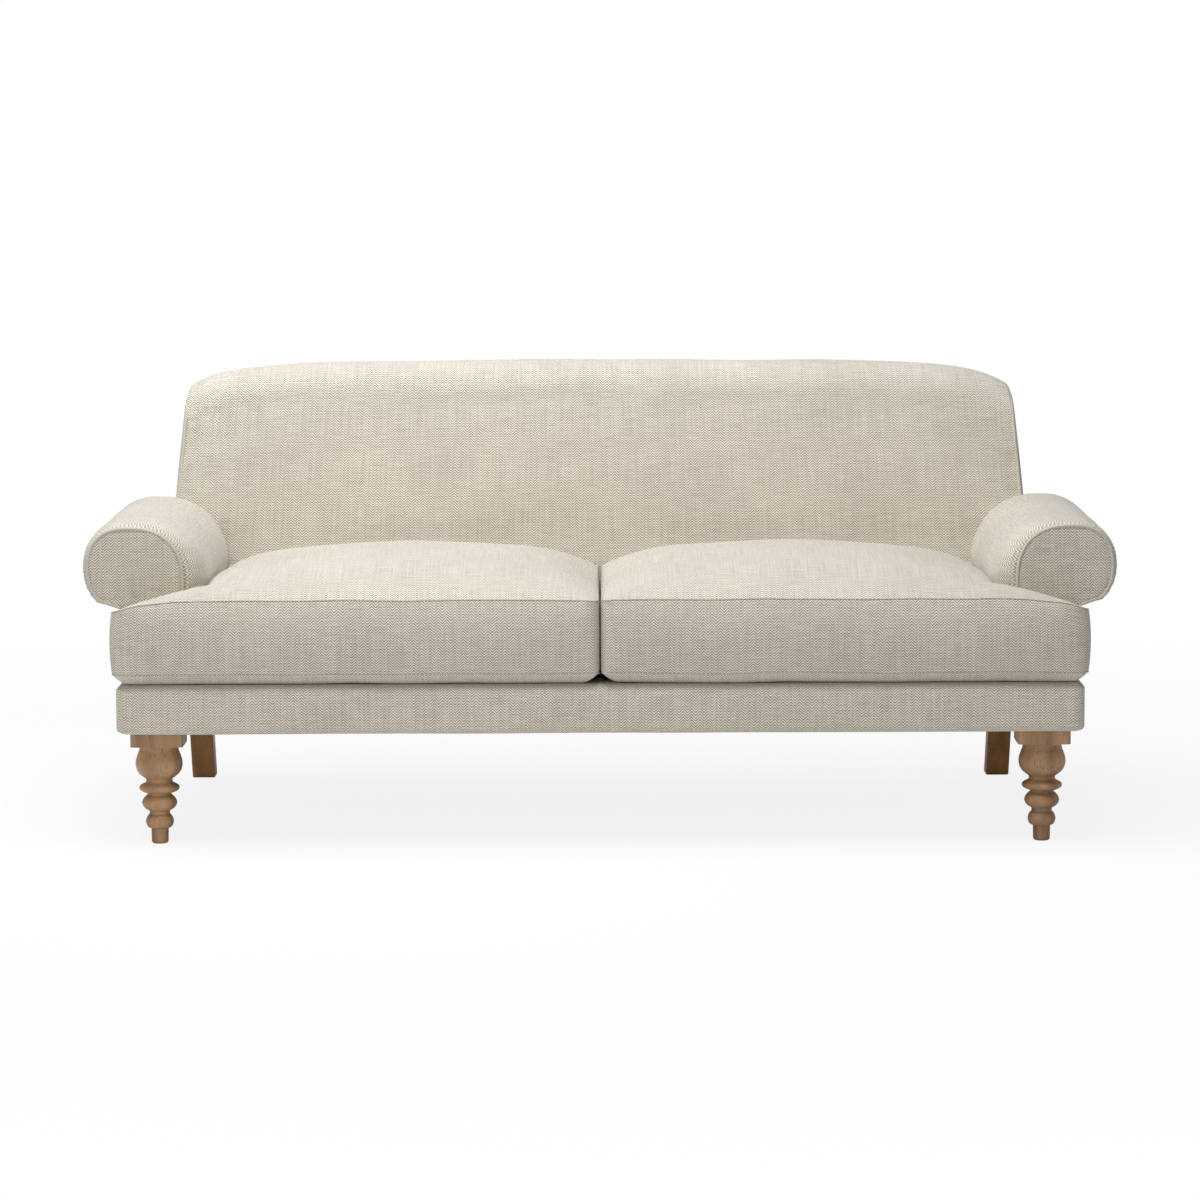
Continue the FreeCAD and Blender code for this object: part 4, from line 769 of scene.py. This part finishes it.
lines_x = np.concatenate([
    np.linspace(CUSHION_INNER, CUSHION_OUTER, 99), np.linspace(CUSHION_OUTER, CUSHION_EAR, 24)[1:],
])
rows_y = np.concatenate([
    np.linspace(0, 1, 16) * EAR_DEPTH, EAR_DEPTH + np.linspace(0, 1, 63)[1:] * MAIN_DEPTH,
])
ear_line, back_line = 98, 15
last_x, last_y = len(lines_x) - 1, len(rows_y) - 1
grid_x, grid_y = np.meshgrid(lines_x, rows_y + CUSHION_FRONT, indexing="ij")
kept = (np.arange(last_x + 1)[:, None] <= ear_line) | (np.arange(last_y + 1)[None, :] <= back_line)
vertex = np.cumsum(kept.ravel()).reshape(kept.shape) - 1
count = kept.sum()
cell = kept[:-1, :-1] & kept[1:, :-1] & kept[1:, 1:] & kept[:-1, 1:]
cell_x, cell_y = np.nonzero(cell)
cell_corners = ((0, 0), (1, 0), (1, 1), (0, 1))
top_faces = np.stack([vertex[cell_x + i, cell_y + j] for i, j in cell_corners], -1)
outline = [(0, 0), (last_x, 0), (last_x, back_line), (ear_line, back_line), (ear_line, last_y), (0, last_y)]
rim_ids = np.concatenate([
    np.linspace(a, b, abs(b[0] - a[0]) + abs(b[1] - a[1]), endpoint=False).round().astype(int)
    for a, b in zip(outline, outline[1:] + outline[:1])
])
rim = vertex[rim_ids[:, 0], rim_ids[:, 1]]
plan_corners = [
    (CUSHION_INNER, CUSHION_FRONT, 0.020), (CUSHION_EAR, CUSHION_FRONT, 0.034),
    (CUSHION_EAR, CUSHION_EAR_BACK, 0.026), (CUSHION_OUTER, CUSHION_REAR, 0.030),
    (CUSHION_INNER, CUSHION_REAR, 0.024),
]
flat_x, flat_y = grid_x[kept], grid_y[kept]
plan_x, plan_y = rounded(flat_x, flat_y, plan_corners)
in_ear = smooth_step(flat_x, CUSHION_OUTER - 0.03, CUSHION_OUTER + 0.05)
depth = np.clip((flat_y - CUSHION_FRONT) / (CUSHION_DEPTH * (1 - in_ear) + EAR_DEPTH * in_ear), 0, 1)
top_z = cushion_top(flat_x, depth)
edge_gap = np.minimum.reduce([
    flat_x - CUSHION_INNER, flat_y - CUSHION_FRONT, CUSHION_REAR - flat_y, CUSHION_EAR - flat_x,
    np.where(flat_y > CUSHION_EAR_BACK, CUSHION_OUTER - flat_x, 1.0),
    np.where(flat_x > CUSHION_OUTER, CUSHION_EAR_BACK - flat_y, 1.0),
])
low_z = CUSHION_FLOOR + CUSHION_ROUND * (1 - np.clip(edge_gap / CUSHION_ROUND_REACH, 0, 1)) ** 1.8


def lean_back(y, z):
    """Moves a plan depth so that the rear boxing stays parallel to the leaning back."""
    share = np.clip((y - CUSHION_EAR_BACK) / (CUSHION_REAR - CUSHION_EAR_BACK), 0, 1)
    return y + share * (cushion_rear(z) - CUSHION_REAR)


boxing_rows = 20
rim_x, rim_y = plan_x[rim], plan_y[rim]
ahead_x, ahead_y = np.roll(rim_x, -1) - np.roll(rim_x, 1), np.roll(rim_y, -1) - np.roll(rim_y, 1)
size = np.hypot(ahead_x, ahead_y)
out_x, out_y = ahead_y / size, -ahead_x / size
heights = np.linspace(0, 1, boxing_rows + 1)[1:-1]
on_ear = (rim_ids[:, 0] == last_x) | ((rim_ids[:, 1] == back_line) & (rim_ids[:, 0] > ear_line))
free = (rim_ids[:, 1] == 0) | on_ear
belly = np.where(free, 0.004, 0.0)[None, :] * (4 * heights * (1 - heights))[:, None]
wall_z = low_z[rim][None, :] + (top_z[rim] - low_z[rim])[None, :] * heights[:, None]
wall_x = rim_x[None, :] + out_x[None, :] * belly
wall_y = lean_back(rim_y[None, :] + out_y[None, :] * belly, wall_z)
top = np.stack([plan_x, lean_back(plan_y, top_z), top_z], -1)
low = np.stack([plan_x, lean_back(plan_y, low_z), low_z], -1)
wall = np.stack([wall_x, wall_y, wall_z], -1)
shape = np.concatenate([top, low, wall.reshape(-1, 3)])
wall_ids = 2 * count + np.arange(len(heights))[:, None] * len(rim) + np.arange(len(rim))[None]
rings = np.concatenate([(rim + count)[None], wall_ids, rim[None]])
wall_faces = np.stack([
    rings[:-1], np.roll(rings[:-1], -1, 1), np.roll(rings[1:], -1, 1), rings[1:],
], -1).reshape(-1, 4)
cushion_faces = np.concatenate([top_faces, top_faces[:, ::-1] + count, wall_faces])
girth = np.concatenate([[0], np.cumsum(size / 2)])
level = np.linspace(0, 0.15, boxing_rows + 1)
wall_uv = np.zeros((boxing_rows, len(rim), 4, 2))
for corner, (up, along) in enumerate(((0, 0), (0, 1), (1, 1), (1, 0))):
    wall_uv[..., corner, 0] = girth[None, along:len(rim) + along]
    wall_uv[..., corner, 1] = level[up:boxing_rows + up, None]
plan = np.stack([flat_x, flat_y], -1)
cushion_uv = np.concatenate([
    plan[top_faces].reshape(-1, 2), plan[top_faces[:, ::-1]].reshape(-1, 2), wall_uv.reshape(-1, 2),
]).reshape(-1, 4, 2)


def fill_up(piece, holds, cap):
    """Swells a closed cover as its filling would: cloth with a pressure inside and no gravity.

    holds has how firmly each point is pinned. Gives each point's move, shortened to a cap.
    """
    rest = np.zeros(len(piece.data.vertices) * 3)
    piece.data.vertices.foreach_get("co", rest)
    rest = rest.reshape(-1, 3)
    pins = piece.vertex_groups.new(name="held")
    for firmness in np.unique(holds[holds > 0]):
        pins.add(np.flatnonzero(holds == firmness).tolist(), float(firmness), "REPLACE")
    cloth = piece.modifiers.new("filling", "CLOTH")
    cloth.settings.quality = 5
    cloth.settings.mass = 0.3
    cloth.settings.tension_stiffness = 12
    cloth.settings.compression_stiffness = 8
    cloth.settings.shear_stiffness = 5
    cloth.settings.bending_stiffness = 0.6
    cloth.settings.use_pressure = True
    cloth.settings.uniform_pressure_force = 4.0
    cloth.settings.vertex_group_mass = "held"
    cloth.settings.effector_weights.gravity = 0
    cloth.collision_settings.use_collision = False
    cloth.point_cache.frame_start, cloth.point_cache.frame_end = 1, FILL_FRAMES
    for frame_number in range(1, FILL_FRAMES + 1):
        bpy.context.scene.frame_set(frame_number)
    grown = piece.evaluated_get(bpy.context.evaluated_depsgraph_get())
    now = np.zeros_like(rest).ravel()
    grown.data.vertices.foreach_get("co", now)
    piece.modifiers.remove(cloth)
    piece.vertex_groups.remove(pins)
    bpy.context.scene.frame_set(1)
    move = now.reshape(-1, 3) - rest
    length = np.linalg.norm(move, axis=1, keepdims=True)
    return rest, move * np.minimum(1, cap / np.maximum(length, 1e-9))


for side in SIDES:
    start = shape.copy()
    start[:, 2] += 0.0010 * soft_noise(shape, 0.2, 61 + SIDES[side])
    start[:, 2] = np.maximum(start[:, 2], CUSHION_FLOOR)
    final = mirror_grid(start, side)
    step = 1 if side == "right" else -1
    cushion = make_piece(
        f"seat_cushion_{side}", final, cushion_faces[:, ::step], cushion_uv[:, ::step], cream,
        f"cushion_{side}",
    )
    holds = np.zeros(len(shape))
    holds[rim] = SEAM_HOLD
    holds[rim + count] = SEAM_HOLD
    holds[count:2 * count] = np.where(edge_gap > 0.02, 1.0, holds[count:2 * count])
    rest, move = fill_up(cushion, holds, FILL_CAP)
    final = rest + move
    right = mirror_grid(final, side)
    right[:, 0] = np.maximum(right[:, 0], MIDDLE_LIMIT)
    beside_arm = right[:, 1] > CUSHION_EAR_BACK + 0.002
    right[:, 0] = np.where(beside_arm, np.minimum(right[:, 0], ARM_LIMIT), right[:, 0])
    right[:, 1] = np.minimum(right[:, 1], cushion_rear(right[:, 2]) + 0.0002)
    right[:, 2] = np.maximum(right[:, 2], CUSHION_FLOOR)
    final = mirror_grid(right, side)
    cushion.data.vertices.foreach_set("co", final.ravel())
    cushion.data.update()
    smoother = cushion.modifiers.new("smooth", "SUBSURF")
    smoother.levels = smoother.render_levels = 1
    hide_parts(f"seat_cushion_cover_{side}", f"seat_cushion_core_{side}")
    for name, ring in (("top", rim), ("bottom", rim + count)):
        tube_piece(
            f"seat_cushion_{name}_seam_{side}", final[ring], SEAM_RADIUS, piping_cloth,
            closed=True, sides=8, body=f"cushion_{side}",
        )

# Cushion zips. A nylon zip lies along the middle of each cushion's rear boxing: two woven tapes, a row of
# small teeth where they meet and a slider with its pull at one end.
ZIP_START = 0.062
ZIP_END = 0.7245
ZIP_LOW = 0.3943
ZIP_HIGH = 0.4243
ZIP_STAND = 0.0016
TOOTH_PITCH = 0.0032
ZIP_MIDDLE = (ZIP_LOW + ZIP_HIGH) / 2
TOOTH = (0.0011, 0.0012, 0.0026)
SLIDER = (0.0045, 0.0016, 0.0040)
PULL = (0.0022, 0.0006, 0.0100)
PULL_DROP = 0.012

tape_cloth = plain_cloth("zip_tape", (0.60, 0.55, 0.46), (0.40, 0.36, 0.29), 0.0009)
nylon, tree, surface = blank_finish("zip_nylon", 0.35)
place = add_node(tree, "ShaderNodeTexCoord").outputs["Object"]
colour = mix_colours(tree, noise(tree, place, 300.0, 3.0), (0.38, 0.34, 0.27), (0.62, 0.57, 0.48))
tree.links.new(colour, surface.inputs["Base Color"])


def zip_line(height):
    """How far back the zip's outer face lies at a height, on the leaning rear boxing."""
    return cushion_rear(height) + ZIP_STAND


def block_faces(count):
    """The faces of several closed boxes, each with its eight corners in a row."""
    one = np.array([(0, 2, 3, 1), (4, 5, 7, 6), (0, 1, 5, 4), (2, 6, 7, 3), (0, 4, 6, 2), (1, 3, 7, 5)])
    return (np.arange(count)[:, None, None] * 8 + one).reshape(-1, 4)


tape_z = np.concatenate([np.linspace(ZIP_LOW, ZIP_HIGH, 17), np.linspace(ZIP_HIGH, ZIP_LOW, 17)])
tape_out = np.concatenate([np.full(17, 0.0), np.full(17, -0.0012)])
tape_out[:17] -= 0.0004 * np.exp(-((tape_z[:17] - ZIP_MIDDLE) / 0.0016) ** 2)
x = np.linspace(ZIP_START, ZIP_END, 130)
tape_grid = sweep(x, np.stack([zip_line(tape_z) + tape_out, tape_z], -1))
tape_grid[..., 2] += 0.0003 * np.sin(x[:, None] * 60)
tooth_x = np.arange(ZIP_START + 0.012, ZIP_END - 0.012, TOOTH_PITCH)
tooth_z = ZIP_MIDDLE + np.where(np.arange(len(tooth_x)) % 2, 0.0006, -0.0006)
slider_x, pull_z = ZIP_START + 0.008, tooth_z[0] - PULL_DROP
centre = np.concatenate([
    np.stack([tooth_x, zip_line(tooth_z) + 0.0002, tooth_z], -1),
    [(slider_x, zip_line(tooth_z[0]) + 0.0006, tooth_z[0]), (slider_x, zip_line(pull_z) + 0.0014, pull_z)],
])
extent = np.concatenate([np.repeat([TOOTH], len(tooth_x), 0), [SLIDER, PULL]])
signs = np.array([(i, j, k) for i in (-1, 1) for j in (-1, 1) for k in (-1, 1)])
blocks = (centre[:, None] + signs[None] * extent[:, None] * (1, 0.5, 0.5)).reshape(-1, 3)
faces = block_faces(len(centre))
for side in SIDES:
    tape = grid_piece(
        f"cushion_zip_tape_{side}", mirror_grid(tape_grid, side), loop_uv(x, tape_grid), tape_cloth,
        wrap=True, caps=True, flip=side == "left", body=f"cushion_{side}",
    )
    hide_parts(f"cushion_zip_{side}")
    teeth = make_piece(
        f"cushion_zip_teeth_{side}", mirror_grid(blocks, side), faces[:, ::-1] if side == "right" else faces,
        blocks[faces.ravel()][:, [0, 2]], nylon, f"cushion_{side}",
    )
    teeth.data.polygons.foreach_set("use_smooth", np.zeros(len(teeth.data.polygons), bool))

# Front legs. Each is turned from one square oak blank: block, ball, disc, two bulbs and a peg foot.
LEG_X = 0.881
LEG_Y = -0.422
LEG_BLOCK = 0.052
LEG_FACETS = 128

# Height and radius of the turned leg in millimetres, from the foot up.
LEG_PROFILE = np.array([
    (0, 0), (0, 13), (1.2, 15.5), (4, 16.8), (30, 17.2), (31.2, 19), (32.5, 23.2), (37, 26.2),
    (44, 28.1), (51, 26.6), (56, 23.8), (58.2, 21.2), (59, 20.3), (65.2, 20.3), (66.5, 22), (70, 28.2),
    (75, 32.8), (82, 35.4), (89, 33), (94.5, 28.5), (97.5, 24.8), (98.2, 23.5), (100.8, 23.5),
    (102, 26.2), (105, 34.5), (108.5, 39.2), (112.5, 40.5), (116.5, 38.6), (119.5, 33.5), (121.5, 29),
    (123.5, 26.6), (127, 25.8), (130.5, 26.8), (134, 31.8), (140, 39.2), (148, 44.6), (158, 47),
    (168, 46.3), (178, 43), (186, 39.8), (191, 38.8), (195, 39.2), (197.5, 42), (198.7, 50),
    (199.2, 60), (199.6, 76), (226.6, 76), (226.6, 0),
]) / 1000


def oak(name, light, dark, gloss):
    """Oiled oak: long fibres stretched up the piece, broad growth bands and fine dark pores."""
    made, tree, surface = blank_finish(name, 0.5)
    surface.inputs["Coat Weight"].default_value = gloss
    surface.inputs["Coat Roughness"].default_value = 0.35
    place = add_node(tree, "ShaderNodeTexCoord").outputs["Object"]
    bands = noise(tree, stretch(tree, place, (60.0, 60.0, 4.2)), 0.35, 6.0, 0.6)
    pores = noise(tree, stretch(tree, place, (540.0, 540.0, 24.0)), 1.0, 3.0)
    pits = remap(tree, pores, (0.56, 0.72), (0.0, 0.75))
    wood = mix_colours(tree, remap(tree, bands, (0.32, 0.68), (0.0, 1.0)), dark, light)
    colour = mix_colours(tree, pits, wood, tuple(c * 0.42 for c in dark))
    tree.links.new(remap(tree, pores, (0.3, 0.7), (0.36, 0.6)), surface.inputs["Roughness"])
    dress(tree, surface, colour, pores, 0.35, 0.0004)
    return made


def square_round(turn, power):
    """A square with eased corners in polar form: its reach in each direction, 1 at the flats."""
    return 1 / (np.abs(np.cos(turn)) ** power + np.abs(np.sin(turn)) ** power) ** (1 / power)


leg_oak = oak("turned_oak", (0.50, 0.29, 0.145), (0.25, 0.13, 0.058), 0.12)
walk = run_length(LEG_PROFILE[:, None], 0)[:, 0]
fine = np.linspace(0, walk[-1], 420)
z = np.interp(fine, walk, LEG_PROFILE[:, 0])
radius = np.interp(fine, walk, LEG_PROFILE[:, 1])
smooth = np.convolve(np.pad(radius, 2, mode="edge"), np.ones(5) / 5, "valid")
radius = np.where((z > 0.002) & (z < 0.196), smooth, radius)
turn = np.linspace(0, 2 * math.pi, LEG_FACETS, endpoint=False)
reach = np.minimum(radius[:, None], LEG_BLOCK * square_round(turn, 30)[None, :])
reach[(z > 0.2262) & (radius < 0.03)] *= 0.0
reach = np.maximum(reach, 1e-6)
base = np.stack([reach * np.cos(turn), reach * np.sin(turn), np.repeat(z[:, None], LEG_FACETS, 1)], -1)
girth = np.linspace(0, 0.2, LEG_FACETS + 1)[None]
uv = np.stack([np.repeat(girth, len(z), 0), np.repeat(z[:, None], LEG_FACETS + 1, 1)], -1)
for side in SIDES:
    points = base + (LEG_X * SIDES[side], LEG_Y, 0)
    leg = grid_piece(f"front_leg_{side}", points, uv, leg_oak, wrap=True)
    if side == "left":
        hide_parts("front_legs")

# Rear legs. Square oak posts, raked back, with eased edges.
REAR_LEG_X = 0.8705
REAR_LEG_FOOT_Y = 0.469
REAR_LEG_RAKE = 0.116
REAR_LEG_RISE = 0.227
REAR_LEG_HALF = (0.02475, 0.028)
LEG_TOP = 0.2266

# The rear legs' oak colours are set lighter than the wood's own. This is painted light, making up for the
# little lamp light that reaches under the sofa.
rear_oak_painted_light = oak("raked_oak_painted_light", (0.52, 0.25, 0.082), (0.30, 0.14, 0.045), 0.08)
rise = np.concatenate([[0, 0, 0.0012, 0.004], np.linspace(0.01, LEG_TOP, 40)])
ease = np.concatenate([[0, 0.95, 0.98, 1.0], np.ones(40)])[:, None]
square = square_round(turn, 24)
for side in SIDES:
    points = np.zeros((len(rise), LEG_FACETS, 3))
    points[..., 0] = REAR_LEG_X * SIDES[side] + REAR_LEG_HALF[0] * (square * np.cos(turn)) * ease
    points[..., 1] = REAR_LEG_HALF[1] * (square * np.sin(turn)) * ease
    points[..., 1] += REAR_LEG_FOOT_Y - REAR_LEG_RAKE * rise[:, None] / REAR_LEG_RISE
    points[..., 2] = rise[:, None]
    uv = np.zeros((len(rise), LEG_FACETS + 1, 2))
    leg = grid_piece(f"raked_rear_leg_{side}", points, uv, rear_oak_painted_light, wrap=True)
    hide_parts(f"rear_leg_{side}")

# Floor, light and camera. A white floor and surround, a broad soft light above and a weak one in front.
white = bpy.data.worlds.new("white_surround")
bpy.context.scene.world = white
white.use_nodes = True
tree = white.node_tree
background = tree.nodes["Background"]
background.inputs["Color"].default_value = (1, 1, 1, 1)
ray = add_node(tree, "ShaderNodeLightPath").outputs["Is Camera Ray"]
strength = remap(tree, ray, (0.0, 1.0), (0.33, 1.0))
tree.links.new(strength, background.inputs["Strength"])
mesh = bpy.data.meshes.new("floor")
mesh.from_pydata([(-30, -12, 0), (30, -12, 0), (30, 60, 0), (-30, 60, 0)], [], [(0, 1, 2, 3)])
floor = add_object("floor", mesh)
pale, tree, surface = blank_finish("pale_floor", 0.9)
surface.inputs["Base Color"].default_value = (0.80, 0.80, 0.80, 1)
surface.inputs["Specular IOR Level"].default_value = 0.0
ray = add_node(tree, "ShaderNodeLightPath").outputs["Is Camera Ray"]
place = add_node(tree, "ShaderNodeTexCoord").outputs["Object"]
away = add_node(tree, "ShaderNodeVectorMath", [(0, place)], operation="LENGTH").outputs["Value"]
fade = remap(tree, away, (0.9, 3.6), (0.86, 1.0), "SMOOTHSTEP")
glow = add_node(tree, "ShaderNodeEmission", [("Color", (1, 1, 1, 1)), ("Strength", 1.0)]).outputs[0]
share = math_node(tree, "MULTIPLY", ray, fade)
mixed = add_node(tree, "ShaderNodeMixShader", [(0, share), (1, surface.outputs[0]), (2, glow)]).outputs[0]
tree.links.new(mixed, tree.nodes["Material Output"].inputs["Surface"])
floor.data.materials.append(pale)

for name, place, aim, size_x, size_y, power, tint in (
    ("top_softbox", (-0.7, -0.7, 3.4), (0, 0.1, 0.3), 3.4, 2.0, 132, (0.94, 0.975, 1.02)),
    ("front_softbox", (-2.6, -5.0, 2.0), (0, 0, 0.5), 3.0, 2.0, 48, (1.03, 1.0, 0.96)),
):
    data = bpy.data.lights.new(name, "AREA")
    data.shape, data.size, data.size_y, data.energy = "RECTANGLE", size_x, size_y, power
    data.color = tint
    lamp = add_object(name, data)
    lamp.location = place
    direction = np.array(aim) - np.array(place)
    lean = math.acos(-direction[2] / np.linalg.norm(direction))
    lamp.rotation_euler = (lean, 0, math.atan2(direction[0], -direction[1]) + math.pi)

# The camera stands 9.1 m in front of the sofa and looks a little down, with a slight roll.
CAMERA_PLACE = (0.0, -9.114, 1.454)
CAMERA_DOWN = math.radians(6.36)
CAMERA_ROLL = math.radians(-0.2)

data = bpy.data.cameras.new("view")
data.sensor_width = 36.0
data.lens = 132.0
data.clip_end = 200
camera = add_object("view", data)
tilt = Matrix.Rotation(math.pi / 2 - CAMERA_DOWN, 4, "X") @ Matrix.Rotation(CAMERA_ROLL, 4, "Z")
camera.matrix_world = Matrix.Translation(CAMERA_PLACE) @ tilt
bpy.context.scene.camera = camera
bpy.context.scene.view_settings.view_transform = "Standard"
